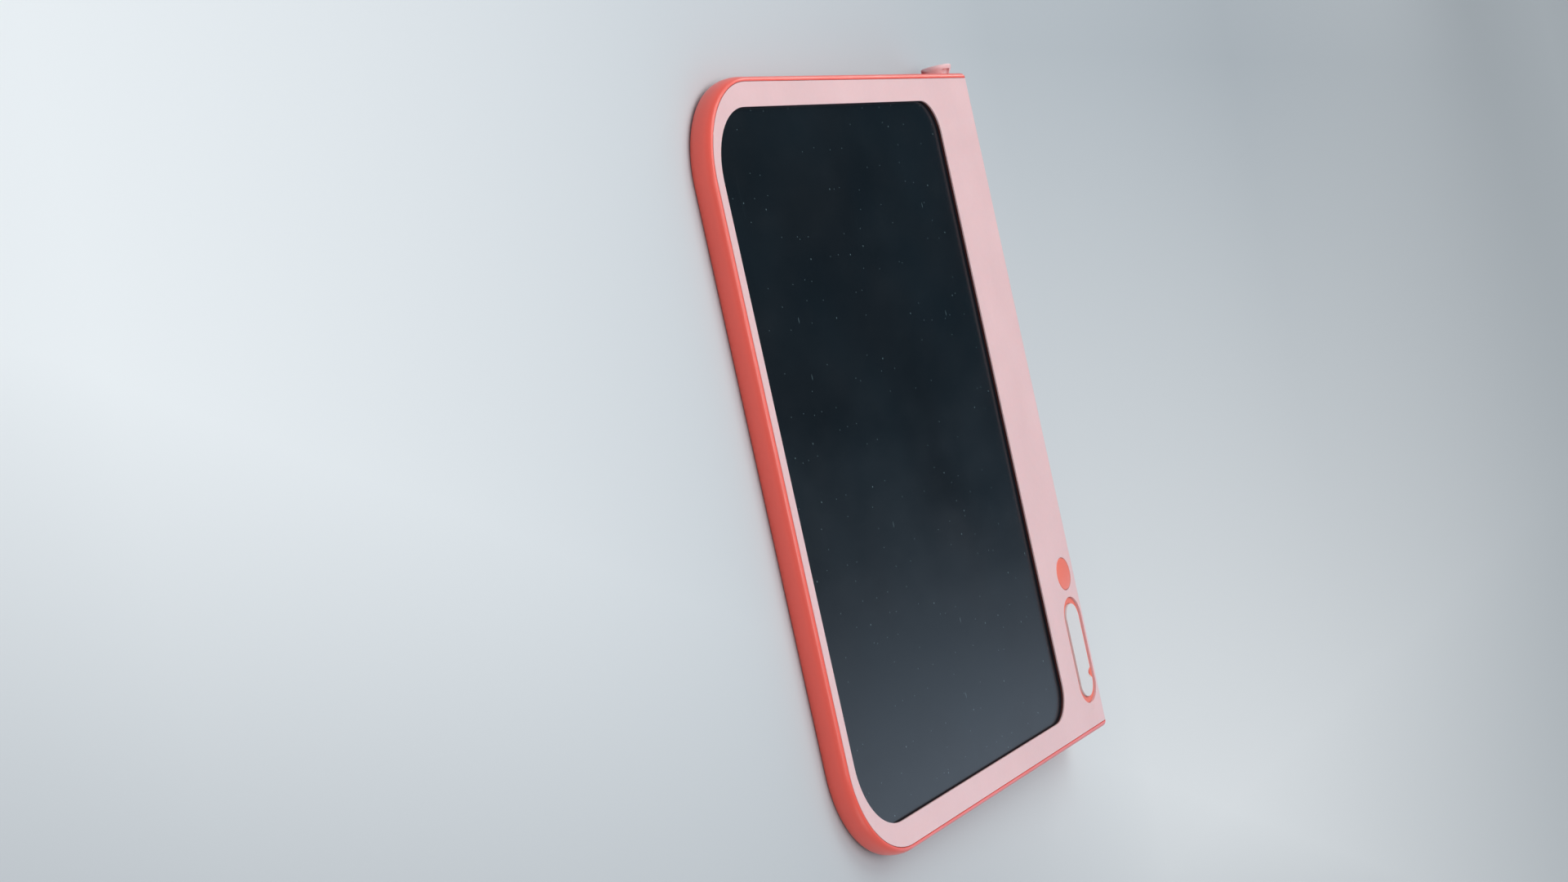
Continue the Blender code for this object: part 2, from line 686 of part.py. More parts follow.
def make_back_shell():
    """Pink back and spine, with ribs, screw posts, board posts and stylus cradles."""
    shell = body_blank("back_shell", SHELL_INSET, 0)
    carve(shell, body_blank("hollow", SHELL_INSET + SHELL_WALL, SHELL_WALL))
    reach = END + OVERRUN
    parting = PARTING_HEIGHT - FIT_GAP / 2
    carve(shell, block("above", (-reach, reach), (-reach, reach), (parting, FACE + OVERRUN)))
    fuse(shell, floor_ribs())
    for place in screw_places():
        fuse(shell, drum("post", SCREW_WELL_RADIUS + SCREW_BOSS_WALL, SHELL_WALL / 2,
                         SCREW_POST_TOP, place, steps=SMALL_ROUND_STEPS))
    low = -SPINE_THICKNESS
    for x, y in board_screw_places():
        post = drum("board_post", BOARD_POST_RADIUS, low, BOARD_BOTTOM - FIT_GAP, (x, y),
                    steps=SMALL_ROUND_STEPS)
        fuse(shell, trim(post, shell_limit("limit")))
    saddle = SLEEVE_BORE + SLEEVE_WALL + FIT_GAP
    for share in CRADLE_SHARES:
        x = SLEEVE_START + (SLEEVE_END - SLEEVE_START) * share
        span = (x - CRADLE_THICKNESS / 2, x + CRADLE_THICKNESS / 2)
        cradle = block("cradle", span, (NOSE - 2 * SPINE_RADIUS, NOSE), (low, parting))
        trim(cradle, shell_limit("limit"))
        way = drum("saddle", saddle, span[0] - OVERRUN, span[1] + OVERRUN,
                   (STYLUS_Y, STYLUS_Z), ACROSS)
        mouth = block("mouth", (span[0] - OVERRUN, span[1] + OVERRUN),
                      (STYLUS_Y - saddle, STYLUS_Y + saddle), (STYLUS_Z, parting + OVERRUN))
        fuse(shell, carve(cradle, way, mouth))
    guide_x = (TRAY_START + 2 * RIB_WIDTH, TRAY_START + TRAY_FACE_LENGTH - RIB_WIDTH)
    inner_nose = NOSE - SHELL_WALL - 4 * FIT_GAP
    for x in guide_x:
        guide = block("tray_guide", (x, x + RIB_WIDTH), (inner_nose - TRAY_GUIDE_DEPTH, inner_nose),
                      (low, TRAY_BOTTOM - FIT_GAP))
        fuse(shell, trim(guide, shell_limit("limit")))
    carve(shell, extruded("pocket", panel_outline(FIT_GAP), -OVERRUN, POCKET_TOP))
    for place in screw_places():
        carve(
            shell,
            drum("screw_well", SCREW_WELL_RADIUS, -OVERRUN, SCREW_LEDGE, place,
                 steps=SMALL_ROUND_STEPS),
            drum("screw_way", SCREW_HOLE_RADIUS, -OVERRUN, SCREW_POST_TOP + OVERRUN, place,
                 steps=SMALL_ROUND_STEPS),
        )
    for place in board_screw_places():
        depth = BOARD_BOTTOM - BOARD_SCREW_LENGTH
        carve(shell, drum("board_pilot", BOARD_SCREW_RADIUS + FIT_GAP, depth, BOARD_TOP, place,
                          steps=SMALL_ROUND_STEPS))
    carve(shell, stylus_hole(), tray_hole(), lock_hole())
    finish_part(shell, "pink_gloss")


def make_back_panel():
    """Glossy plate set flush into the back, over the case screws."""
    panel = extruded("back_panel", panel_outline(0), 0, PANEL_THICKNESS)
    pip_x = -END + PANEL_END_MARGIN + PANEL_PIP_INSET
    pip_y = NOSE - PANEL_NOSE_MARGIN - PANEL_PIP_INSET
    pip = drum("pip", PANEL_PIP_RADIUS / 2, -PANEL_PIP_HEIGHT, PANEL_THICKNESS / 2,
               (pip_x, pip_y), steps=SMALL_ROUND_STEPS, end_radius=PANEL_PIP_RADIUS)
    finish_part(fuse(panel, pip), "pink_gloss")


def make_screen():
    """Writing panel under the window's lip, its foam frame, and the plate that stiffens it."""
    frame = extruded("screen_gasket", screen_outline(SCREEN_OVERLAP), GASKET_BOTTOM, GASKET_TOP)
    carve(frame, extruded("window", screen_outline(GASKET_SETBACK), GASKET_BOTTOM - OVERRUN,
                          GASKET_TOP + OVERRUN))
    finish_part(frame, "black_foam")
    screen = extruded("screen_panel", screen_outline(SCREEN_OVERLAP), SCREEN_BOTTOM, SCREEN_TOP)
    finish_part(screen, "screen")
    backer = extruded("screen_backer", screen_outline(SCREEN_OVERLAP), BACKER_BOTTOM, BACKER_TOP)
    finish_part(backer, "white_plastic")


def make_screw(name, place, head_low, head_radius, head_height, shank_radius, length, upwards):
    """Pan-head screw with a cross drive, whose shank runs up or down from its head."""
    sign = 1 if upwards else -1
    head_end = head_low + sign * head_height
    tip = head_end + sign * length
    low, high = sorted((head_low, head_end))
    screw = drum(name, head_radius, low, high, place, steps=SMALL_ROUND_STEPS)
    start, end = sorted((head_end - sign * head_height / 2, tip))
    fuse(screw, drum("shank", shank_radius, start, end, place, steps=SMALL_ROUND_STEPS))
    scale = head_radius / SCREW_HEAD_RADIUS
    half = DRIVE_SIZE * scale / 2
    depth = sorted((head_low - sign * OVERRUN, head_low + sign * DRIVE_DEPTH * scale))
    for x_share, y_share in DRIVE_SHARES:
        carve(screw, block("drive", (place[0] - half * x_share, place[0] + half * x_share),
                           (place[1] - half * y_share, place[1] + half * y_share), depth))
    finish_part(screw, "steel", (place[0], place[1], head_low))


def make_case_screws():
    """Four screws that hold the shells together from the back."""
    for number, place in enumerate(screw_places(), 1):
        make_screw(f"case_screw_{number}", place, POCKET_TOP, SCREW_HEAD_RADIUS,
                   SCREW_HEAD_HEIGHT, SCREW_SHANK_RADIUS, SCREW_LENGTH, True)


def make_button():
    """Round erase button, with the flange that keeps it in and the stem that presses."""
    stem_low = BOARD_TOP + FIT_GAP + SWITCH_BODY_HEIGHT + SWITCH_PLUNGER_HEIGHT + FIT_GAP
    flange_top = CEILING - FIT_GAP
    flange_low = flange_top - BUTTON_FLANGE_THICKNESS
    dome_radius = (BUTTON_RADIUS ** 2 + BUTTON_DOME ** 2) / (2 * BUTTON_DOME)
    half_angle = math.asin(BUTTON_RADIUS / dome_radius)
    crown = arc((0, FACE + BUTTON_DOME - dome_radius), dome_radius, math.pi / 2,
                math.pi / 2 - half_angle, BEVEL_STEPS)
    flange_radius = BUTTON_RADIUS + BUTTON_FLANGE
    profile = crown + [(BUTTON_RADIUS, flange_top), (flange_radius, flange_top),
                       (flange_radius, flange_low), (BUTTON_STEM_RADIUS, flange_low),
                       (BUTTON_STEM_RADIUS, stem_low), (0, stem_low)]
    profile[0] = (0, FACE + BUTTON_DOME)
    button = turned("erase_button", profile, Matrix.Translation((BUTTON_X, CONTROL_Y, 0)))
    finish_part(button, "coral_plastic", (BUTTON_X, CONTROL_Y, FACE))


def make_erase_switch():
    """Push switch under the erase button: its body on the board and its plunger."""
    low = BOARD_TOP + FIT_GAP
    top = low + SWITCH_BODY_HEIGHT
    half = SWITCH_BODY_SIZE / 2
    body = block("erase_switch_body", (BUTTON_X - half, BUTTON_X + half),
                 (CONTROL_Y - half, CONTROL_Y + half), (low, top))
    well = top - SWITCH_PLUNGER_TRAVEL - 2 * FIT_GAP
    place = (BUTTON_X, CONTROL_Y)
    carve(body, drum("plunger_well", SWITCH_PLUNGER_RADIUS + FIT_GAP, well, top + OVERRUN, place,
                     steps=SMALL_ROUND_STEPS))
    finish_part(body, "black_plastic")
    plunger = drum("erase_switch_plunger", SWITCH_PLUNGER_RADIUS,
                   well + SWITCH_PLUNGER_TRAVEL + FIT_GAP, top + SWITCH_PLUNGER_HEIGHT, place,
                   steps=SMALL_ROUND_STEPS)
    finish_part(plunger, "coral_plastic", (BUTTON_X, CONTROL_Y, top))


def make_name_plate():
    """Capsule tray in the face, and the white plate that lifts out of it."""
    centre = (PLATE_X, CONTROL_Y)
    floor = FACE - WELL_DEPTH
    pocket_floor = FACE - PLATE_DROP - PLATE_THICKNESS - FIT_GAP
    low = pocket_floor - WELL_FLOOR
    flange_top = CEILING - FIT_GAP
    tray = extruded("name_plate_tray", capsule_outline(centre, WELL_LENGTH, WELL_WIDTH), low, floor)
    flange = capsule_outline(centre, WELL_LENGTH + 2 * WELL_FLANGE, WELL_WIDTH + 2 * WELL_FLANGE)
    fuse(tray, extruded("flange", flange, low - FIT_GAP, flange_top))
    pocket = capsule_outline(centre, PLATE_LENGTH + 2 * FIT_GAP, PLATE_WIDTH + 2 * FIT_GAP)
    carve(tray, extruded("pocket", pocket, pocket_floor, FACE))
    finish_part(tray, "coral_plastic")
    plate = extruded("name_plate", capsule_outline(centre, PLATE_LENGTH, PLATE_WIDTH),
                     pocket_floor + FIT_GAP, FACE - PLATE_DROP)
    scoop_x = PLATE_X + PLATE_LENGTH / 2 - PLATE_SCOOP_FROM_END
    scoop_y = CONTROL_Y + PLATE_WIDTH / 2 + PLATE_SCOOP_RADIUS - PLATE_SCOOP_DEPTH
    carve(plate, drum("scoop", PLATE_SCOOP_RADIUS, CEILING - OVERRUN, FACE + OVERRUN,
                      (scoop_x, scoop_y)))
    finish_part(plate, "white_plastic", (PLATE_X, CONTROL_Y, FACE))


# Depths of the lock's pieces behind the nose
LOCK_BASE_OUTER = NOSE - SHELL_WALL - FIT_GAP
LOCK_BASE_INNER = LOCK_BASE_OUTER - LOCK_BASE_THICKNESS
LOCK_LEVER_TIP = LOCK_BASE_INNER - FIT_GAP
LOCK_SWITCH_FRONT = LOCK_BASE_INNER - LOCK_FORK_REACH - FIT_GAP


def make_lock_slider():
    """Lock slider: cap flush with the nose, two ribs, a base that fills the slot, and a fork."""
    x, z = LOCK_REST_X, LOCK_HEIGHT
    cap_width = LOCK_SLOT_WIDTH - 2 * FIT_GAP
    middle = (LOCK_BASE_OUTER + LOCK_BASE_INNER) / 2
    slider = extruded("lock_slider", capsule_outline((x, z), LOCK_CAP_LENGTH, cap_width),
                      middle, NOSE + OVERRUN, FRONTAL)
    trim(slider, body_blank("nose", SHELL_INSET, 0))
    for side in (-1, 1):
        centre = x + side * LOCK_RIB_SPACING / 2
        rib_half = cap_width / 4
        fuse(slider, block("rib", (centre - LOCK_RIB_WIDTH / 2, centre + LOCK_RIB_WIDTH / 2),
                           (NOSE - LOCK_RIB_HEIGHT, NOSE + LOCK_RIB_HEIGHT),
                           (z - rib_half, z + rib_half)))
    base_half = LOCK_CAP_LENGTH / 2 + LOCK_BASE_MARGIN
    base = (z - LOCK_SLOT_WIDTH / 2 - LOCK_BASE_FLANK, z + LOCK_SLOT_WIDTH / 2 + LOCK_BASE_FLANK / 2)
    fuse(slider, block("base", (x - base_half, x + base_half), (LOCK_BASE_INNER, LOCK_BASE_OUTER), base))
    inner = LOCK_LEVER_WIDTH / 2 + FIT_GAP
    lever_half = LOCK_LEVER_HEIGHT / 2
    for side in (-1, 1):
        prong = sorted((x + side * inner, x + side * (inner + LOCK_LEVER_WIDTH)))
        fuse(slider, block("prong", prong, (LOCK_BASE_INNER - LOCK_FORK_REACH, middle),
                           (z - lever_half, z + lever_half)))
    finish_part(slider, "pink_shell", (x, NOSE, z))


def make_lock_switch():
    """Slide switch on the board's edge, and its lever, which the slider's fork carries."""
    low = BOARD_TOP + FIT_GAP
    half = LOCK_SWITCH_LENGTH / 2
    body = block("lock_switch_body", (LOCK_X - half, LOCK_X + half),
                 (LOCK_SWITCH_FRONT - LOCK_SWITCH_DEPTH, LOCK_SWITCH_FRONT),
                 (low, low + LOCK_SWITCH_HEIGHT))
    lever_half = LOCK_LEVER_HEIGHT / 2
    slot_half = (LOCK_LEVER_WIDTH + LOCK_TRAVEL) / 2 + FIT_GAP
    carve(body, block("slot", (LOCK_X - slot_half, LOCK_X + slot_half),
                      (LOCK_SWITCH_FRONT - LOCK_SWITCH_SLOT, LOCK_SWITCH_FRONT + OVERRUN),
                      (LOCK_HEIGHT - lever_half - FIT_GAP, LOCK_HEIGHT + lever_half + FIT_GAP)))
    finish_part(body, "steel")
    lever_width = LOCK_LEVER_WIDTH / 2
    lever = block("lock_switch_lever", (LOCK_REST_X - lever_width, LOCK_REST_X + lever_width),
                  (LOCK_SWITCH_FRONT - LOCK_LEVER_DEPTH, LOCK_LEVER_TIP),
                  (LOCK_HEIGHT - lever_half, LOCK_HEIGHT + lever_half))
    finish_part(lever, "black_plastic", (LOCK_REST_X, LOCK_SWITCH_FRONT, LOCK_HEIGHT))


def make_battery_tray():
    """Tray that pulls out of the nose with the coin cell."""
    half = TRAY_FACE_HEIGHT / 2
    face = block("battery_tray", (TRAY_START, TRAY_START + TRAY_FACE_LENGTH),
                 (NOSE - TRAY_FACE_THICKNESS, NOSE + OVERRUN),
                 (PARTING_HEIGHT - half, PARTING_HEIGHT + half))
    trim(face, body_blank("nose", SHELL_INSET, 0))
    pocket_radius = CELL_RADIUS + CELL_GAP
    side = pocket_radius + TRAY_WALL
    rear = CELL_Y - TRAY_SIDE_REACH
    behind_face = NOSE - TRAY_FACE_THICKNESS - FIT_GAP
    holder = block("holder", (CELL_X - side, CELL_X + side), (rear, behind_face),
                   (TRAY_BOTTOM, CELL_TOP))
    neck = block("neck", (TRAY_START + TRAY_WALL, TRAY_START + TRAY_FACE_LENGTH - FIT_GAP),
                 (behind_face - FIT_GAP, NOSE - TRAY_FACE_THICKNESS / 2),
                 (TRAY_BOTTOM + FIT_GAP, CELL_TOP - FIT_GAP))
    tray = fuse(face, neck, holder)
    carve(
        tray,
        drum("pocket", pocket_radius, CELL_BOTTOM - CELL_GAP, CELL_TOP + OVERRUN, (CELL_X, CELL_Y)),
        block("contact_way", (CELL_X - CONTACT_WAY_WIDTH / 2, CELL_X + CONTACT_WAY_WIDTH / 2),
              (rear - OVERRUN, CELL_Y + CONTACT_WAY_WIDTH / 2), (TRAY_BOTTOM - OVERRUN, CELL_HEIGHT)),
    )
    finish_part(tray, "pink_shell", (TRAY_START, NOSE, PARTING_HEIGHT))


def make_tray_latch():
    """Sprung finger beside the tray's face, squeezed towards it to free the tray."""
    half = TRAY_FACE_HEIGHT / 2
    start = TRAY_END - LATCH_LENGTH
    latch = block("tray_latch", (start, TRAY_END), (NOSE - TRAY_FACE_THICKNESS, NOSE + OVERRUN),
                  (PARTING_HEIGHT - half, PARTING_HEIGHT + half))
    trim(latch, body_blank("nose", SHELL_INSET, 0))
    scoop_y = NOSE + LATCH_SCOOP_RADIUS - LATCH_SCOOP_DEPTH
    middle = (start + TRAY_END) / 2
    carve(latch, drum("scoop", LATCH_SCOOP_RADIUS, PARTING_HEIGHT - half - OVERRUN,
                      PARTING_HEIGHT + half + OVERRUN, (middle, scoop_y)))
    arm_x = CELL_X + CELL_RADIUS + CELL_GAP + TRAY_WALL + LATCH_TRAVEL + FIT_GAP
    arm_half = LATCH_ARM_HEIGHT / 2
    fuse(latch, block("arm", (arm_x, arm_x + LATCH_ARM_WIDTH),
                      (NOSE - TRAY_FACE_THICKNESS - LATCH_ARM_LENGTH,
                       NOSE - TRAY_FACE_THICKNESS + FIT_GAP * 2),
                      (CELL_HEIGHT - arm_half, CELL_HEIGHT + arm_half)))
    finish_part(latch, "pink_shell", (middle, NOSE, PARTING_HEIGHT))


def make_coin_cell():
    """Coin cell in the tray, its negative cap below and a shade smaller."""
    step = CELL_THICKNESS / 4
    cap_radius = CELL_RADIUS - step
    profile = [(0, CELL_TOP), (CELL_RADIUS, CELL_TOP), (CELL_RADIUS, CELL_BOTTOM + step),
               (cap_radius, CELL_BOTTOM + step), (cap_radius, CELL_BOTTOM), (0, CELL_BOTTOM)]
    cell = turned("coin_cell", profile, Matrix.Translation((CELL_X, CELL_Y, 0)))
    finish_part(cell, "steel", (CELL_X, CELL_Y, CELL_HEIGHT))


def strip_outline(path, thickness):
    """Outline of a thin bent strip whose lower edge follows a path of two or more points."""
    half = thickness / 2
    sides = ([], [])
    for i, point in enumerate(path):
        before = Vector(path[max(i - 1, 0)])
        after = Vector(path[min(i + 1, len(path) - 1)])
        run = (after - before).normalized()
        across = Vector((-run.y, run.x)) * half
        sides[0].append(tuple(Vector(point) - across))
        sides[1].append(tuple(Vector(point) + across))
    return sides[0] + sides[1][::-1]


def make_contacts():
    """Spring strips from the board to the top and the underside of the coin cell."""
    half = CONTACT_THICKNESS / 2
    y_span = (CELL_Y - CONTACT_WIDTH / 2, CELL_Y + CONTACT_WIDTH / 2)
    over = CELL_TOP + FIT_GAP + half
    on_board = BOARD_TOP + FIT_GAP + half
    tray_side = CELL_X + CELL_RADIUS + TRAY_WALL
    bend = (TRAY_END + BOARD_START) / 2
    upper = [(BOARD_START + CONTACT_PAD, on_board), (BOARD_START, on_board), (bend, over),
             (tray_side, over), (CELL_X - CONTACT_REACH, over)]
    plus = extruded("contact_plus", strip_outline(upper, CONTACT_THICKNESS), *y_span, FRONTAL)
    finish_part(plus, "steel")
    under = CELL_BOTTOM - FIT_GAP - half
    passing = TRAY_BOTTOM - 3 * FIT_GAP - half
    below_board = BOARD_BOTTOM - FIT_GAP - half
    rise = CELL_X + CONTACT_WAY_WIDTH / 2 - FIT_GAP
    lower = [(BOARD_START + CONTACT_PAD, below_board), (BOARD_START, below_board), (bend, passing),
             (rise, passing), (CELL_X + CONTACT_THICKNESS, under), (CELL_X - CONTACT_THICKNESS * 2, under)]
    minus = extruded("contact_minus", strip_outline(lower, CONTACT_THICKNESS), *y_span, FRONTAL)
    finish_part(minus, "steel")


def make_board():
    """Circuit board on two posts of the back shell, with its chip and its screws."""
    board = block("circuit_board", (BOARD_START, BOARD_END), (BOARD_INNER_Y, BOARD_NOSE_Y),
                  (BOARD_BOTTOM, BOARD_TOP))
    for place in board_screw_places():
        carve(board, drum("screw_way", BOARD_SCREW_RADIUS + FIT_GAP, BOARD_BOTTOM - OVERRUN,
                          BOARD_TOP + OVERRUN, place, steps=SMALL_ROUND_STEPS))
    finish_part(board, "board_green")
    low = BOARD_TOP + FIT_GAP
    chip_x = BUTTON_X + CHIP_FROM_BUTTON
    chip_y = (BOARD_INNER_Y + BOARD_NOSE_Y) / 2
    chip = block("driver_chip", (chip_x - CHIP_LENGTH / 2, chip_x + CHIP_LENGTH / 2),
                 (chip_y - CHIP_WIDTH / 2, chip_y + CHIP_WIDTH / 2), (low, low + CHIP_HEIGHT))
    finish_part(chip, "black_plastic")
    for number, place in enumerate(board_screw_places(), 1):
        head_top = low + BOARD_SCREW_HEAD_HEIGHT
        make_screw(f"board_screw_{number}", place, head_top, BOARD_SCREW_HEAD_RADIUS,
                   BOARD_SCREW_HEAD_HEIGHT, BOARD_SCREW_RADIUS, BOARD_SCREW_LENGTH, False)


def make_cable():
    """Flat cable from the edge of the writing panel down to the board."""
    screw_x = screw_places()[SCREW_COUNT // 2][0]
    free_from = max(BOARD_START + CONTACT_PAD, screw_x + SCREW_HOLE_RADIUS + SCREW_BOSS_WALL)
    x = (free_from + BUTTON_X - SWITCH_BODY_SIZE / 2) / 2
    high = (SCREEN_TOP + SCREEN_BOTTOM) / 2
    low = BOARD_TOP + FIT_GAP + CABLE_THICKNESS / 2
    start = OPENING_SPINE + SCREEN_OVERLAP + FIT_GAP
    stop = BOARD_INNER_Y + CABLE_RUN_ON_BOARD
    over_wall = SHELL_WALL + 2 * CABLE_STAND_OFF
    path = [(start, high), (start + CABLE_STAND_OFF, high), (foot_centre_y(), over_wall),
            (BOARD_INNER_Y - CABLE_STAND_OFF, low), (BOARD_INNER_Y, low), (stop, low)]
    cable = extruded("display_cable", strip_outline(path, CABLE_THICKNESS),
                     x - CABLE_WIDTH / 2, x + CABLE_WIDTH / 2, ACROSS)
    finish_part(cable, "cable_amber")


def make_sleeve():
    """Closed tube in the spine that the stylus slides into."""
    centre = (STYLUS_Y, STYLUS_Z)
    sleeve = drum("stylus_sleeve", SLEEVE_BORE + SLEEVE_WALL, SLEEVE_START, SLEEVE_END, centre, ACROSS)
    carve(sleeve, drum("bore", SLEEVE_BORE, SLEEVE_START - OVERRUN, SLEEVE_END - SLEEVE_WALL,
                       centre, ACROSS))
    finish_part(sleeve, "white_plastic")


def along_spine(x):
    """Placing of a turned piece whose own Z runs along the spine, from a place on its axis."""
    return Matrix.Translation((x, STYLUS_Y, STYLUS_Z)) @ Matrix.Rotation(math.pi / 2, 4, "Y")


def make_stylus():
    """Stylus: barrel, tip, and a flared head with a nail notch outside the spine cap."""
    origin = (HEAD_BASE_X, STYLUS_Y, STYLUS_Z)
    body_start = FIT_GAP
    barrel_end = STYLUS_TIP_END - STYLUS_TIP_LENGTH - HEAD_BASE_X
    profile = [(0, barrel_end), (STYLUS_NOSE_RADIUS, barrel_end),
               (STYLUS_RADIUS, barrel_end - STYLUS_TAPER_LENGTH), (STYLUS_RADIUS, body_start),
               (0, body_start)]
    barrel = turned("stylus_barrel", profile, along_spine(HEAD_BASE_X))
    finish_part(barrel, "pink_shell", origin)
    tip_start = barrel_end + FIT_GAP
    tip_end = barrel_end + STYLUS_TIP_LENGTH
    profile = [(0, tip_end), (STYLUS_TIP_RADIUS, tip_end), (STYLUS_NOSE_RADIUS, tip_start), (0, tip_start)]
    tip = turned("stylus_tip", profile, along_spine(HEAD_BASE_X), SMALL_ROUND_STEPS)
    finish_part(tip, "black_plastic", origin)
    make_stylus_head(origin)


def make_stylus_head(origin):
    """Flared round head with a notch for a fingernail on the face's side."""
    top = -HEAD_HEIGHT
    rim_low = top + HEAD_RIM_HEIGHT
    corner = arc((HEAD_RADIUS - HEAD_RIM_ROUND, top + HEAD_RIM_ROUND), HEAD_RIM_ROUND, 0,
                 -math.pi / 2, BEVEL_STEPS)
    profile = [(0, 0), (HEAD_FOOT_RADIUS, 0), (HEAD_RADIUS, rim_low)] + corner + [(0, top)]
    head = turned("stylus_head", profile, along_spine(HEAD_BASE_X))
    edge = STYLUS_Z + HEAD_RADIUS
    half = HEAD_NOTCH_WIDTH / 2
    notch = block("notch", (HEAD_BASE_X - HEAD_NOTCH_HEIGHT, HEAD_BASE_X + OVERRUN),
                  (STYLUS_Y - half, STYLUS_Y + half), (edge - HEAD_NOTCH_DEPTH, edge + OVERRUN))
    finish_part(carve(head, notch), "pink_shell", origin)


def rest_tilt():
    """Angle that sets both the spine and the hand edge of the bumper down on a table."""
    run = SPINE_CENTRE_Y - (-NOSE + BUMPER_RIM)
    rise = SPINE_CENTRE_Z - BUMPER_RIM
    reach = math.hypot(run, rise)
    return math.asin((SPINE_RADIUS - BUMPER_RIM) / reach) - math.atan2(rise, run)


def lay_on_table():
    """Tip the whole tablet about X and put the origin under its middle, on the table."""
    parts = list(bpy.data.collections[PARTS].objects)
    root = bpy.data.objects.new("tablet_at_rest", None)
    bpy.context.scene.collection.objects.link(root)
    root.rotation_euler.x = rest_tilt()
    turn = root.rotation_euler.to_matrix()
    corners = [turn @ (item.location + v.co) for item in parts for v in item.data.vertices]
    low = Vector([min(corner[axis] for corner in corners) for axis in range(3)])
    high = Vector([max(corner[axis] for corner in corners) for axis in range(3)])
    root.location = (-(low.x + high.x) / 2, -(low.y + high.y) / 2, -low.z)
    for item in parts:
        item.parent = root


def main():
    """Model every piece, then set the tablet down."""
    clear_scene()
    make_bumper()
    make_front_shell()
    make_back_shell()
    make_back_panel()
    make_screen()
    make_case_screws()
    make_button()
    make_erase_switch()
    make_name_plate()
    make_lock_slider()
    make_lock_switch()
    make_battery_tray()
    make_tray_latch()
    make_coin_cell()
    make_contacts()
    make_board()
    make_cable()
    make_sleeve()
    make_stylus()
    lay_on_table()


main()
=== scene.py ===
"""Looks of a child's drawing tablet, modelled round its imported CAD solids.

Every moulding is drawn again with rounded edges in the tablet's own frame: X runs along the spine
from the stylus end to the lock end, Y from the hand edge to the spine's nose, and Z out of the
writing face, with zero on the flat back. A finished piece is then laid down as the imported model
lies, on its spine and its hand edge. All sizes are in metres.
"""

import logging
import math
from contextlib import contextmanager
from dataclasses import dataclass
from enum import Enum
from typing import Callable, Iterator, Sequence

import bmesh
import bpy
from mathutils import Matrix, Vector

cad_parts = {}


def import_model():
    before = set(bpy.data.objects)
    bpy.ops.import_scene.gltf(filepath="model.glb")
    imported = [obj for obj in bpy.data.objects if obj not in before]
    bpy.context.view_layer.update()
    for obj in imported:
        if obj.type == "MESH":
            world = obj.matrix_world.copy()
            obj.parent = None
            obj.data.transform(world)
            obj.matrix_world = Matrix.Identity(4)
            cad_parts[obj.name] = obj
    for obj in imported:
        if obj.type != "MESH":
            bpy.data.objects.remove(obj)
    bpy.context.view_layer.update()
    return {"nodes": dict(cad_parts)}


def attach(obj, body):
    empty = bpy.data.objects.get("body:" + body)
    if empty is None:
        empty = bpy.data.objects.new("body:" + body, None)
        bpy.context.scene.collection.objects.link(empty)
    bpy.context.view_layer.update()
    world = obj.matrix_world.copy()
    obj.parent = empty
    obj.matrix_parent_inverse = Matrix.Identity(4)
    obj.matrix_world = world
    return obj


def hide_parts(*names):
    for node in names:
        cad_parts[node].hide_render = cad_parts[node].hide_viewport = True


LOG = logging.getLogger("drawing_tablet")

Colour = tuple[float, float, float]
Flat = tuple[float, float]
Point = tuple[float, float, float]
Item = bpy.types.Object
Socket = bpy.types.NodeSocket

X_AXIS = (1.0, 0.0, 0.0)
Y_AXIS = (0.0, 1.0, 0.0)
Z_AXIS = (0.0, 0.0, 1.0)
QUARTER = math.pi / 2
SMOOTH_ANGLE = math.radians(28)
SHARP_ANGLE = math.radians(35)
MERGE = 2e-6
HAIR = 1e-5
START_SIZE = 0.001
PLAIN_STEPS = 48
ROUND_STEPS = 64
FINE_STEPS = 96
NOISE_SPAN = (0.3, 0.7)
NOISE_MIDDLE = (0.35, 0.65)


class Carrier(Enum):
    """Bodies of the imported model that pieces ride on."""

    TABLET = "tablet"
    BUTTON = "erase_button"
    NAME_PLATE = "name_plate"
    LOCK = "lock_slider"
    TRAY = "battery_tray"
    LATCH = "tray_latch"
    STYLUS = "stylus"


class Slot(Enum):
    """Material slots."""

    PINK_SHELL = "pink_shell"
    PINK_GLOSS = "pink_gloss"
    CORAL_RUBBER = "coral_rubber"
    CORAL_PLASTIC = "coral_plastic"
    SCREEN = "screen"
    WHITE_PLASTIC = "white_plastic"
    BLACK_PLASTIC = "black_plastic"
    BLACK_FOAM = "black_foam"
    BOARD_GREEN = "board_green"
    CABLE_AMBER = "cable_amber"
    STEEL = "steel"


class Pick(Enum):
    """What a selection in edit mode holds."""

    VERTS = "VERT"
    EDGES = "EDGE"


# Modelling, as by hand


def deselect_all() -> None:
    """Leave edit mode and deselect every object."""
    if bpy.context.mode != "OBJECT":
        bpy.ops.object.mode_set(mode="OBJECT")
    bpy.ops.object.select_all(action="DESELECT")


def make_active(item: Item) -> None:
    """Select one object alone and make it active.

    Args:
        item: Object that the next operators work on.
    """
    deselect_all()
    item.select_set(True)
    bpy.context.view_layer.objects.active = item


@contextmanager
def editing(item: Item) -> Iterator[Item]:
    """Edit mode on one object for the length of a with block.

    Args:
        item: Object to edit.

    Yields:
        The same object, in edit mode.
    """
    make_active(item)
    bpy.ops.object.mode_set(mode="EDIT")
    yield item
    bpy.ops.object.mode_set(mode="OBJECT")


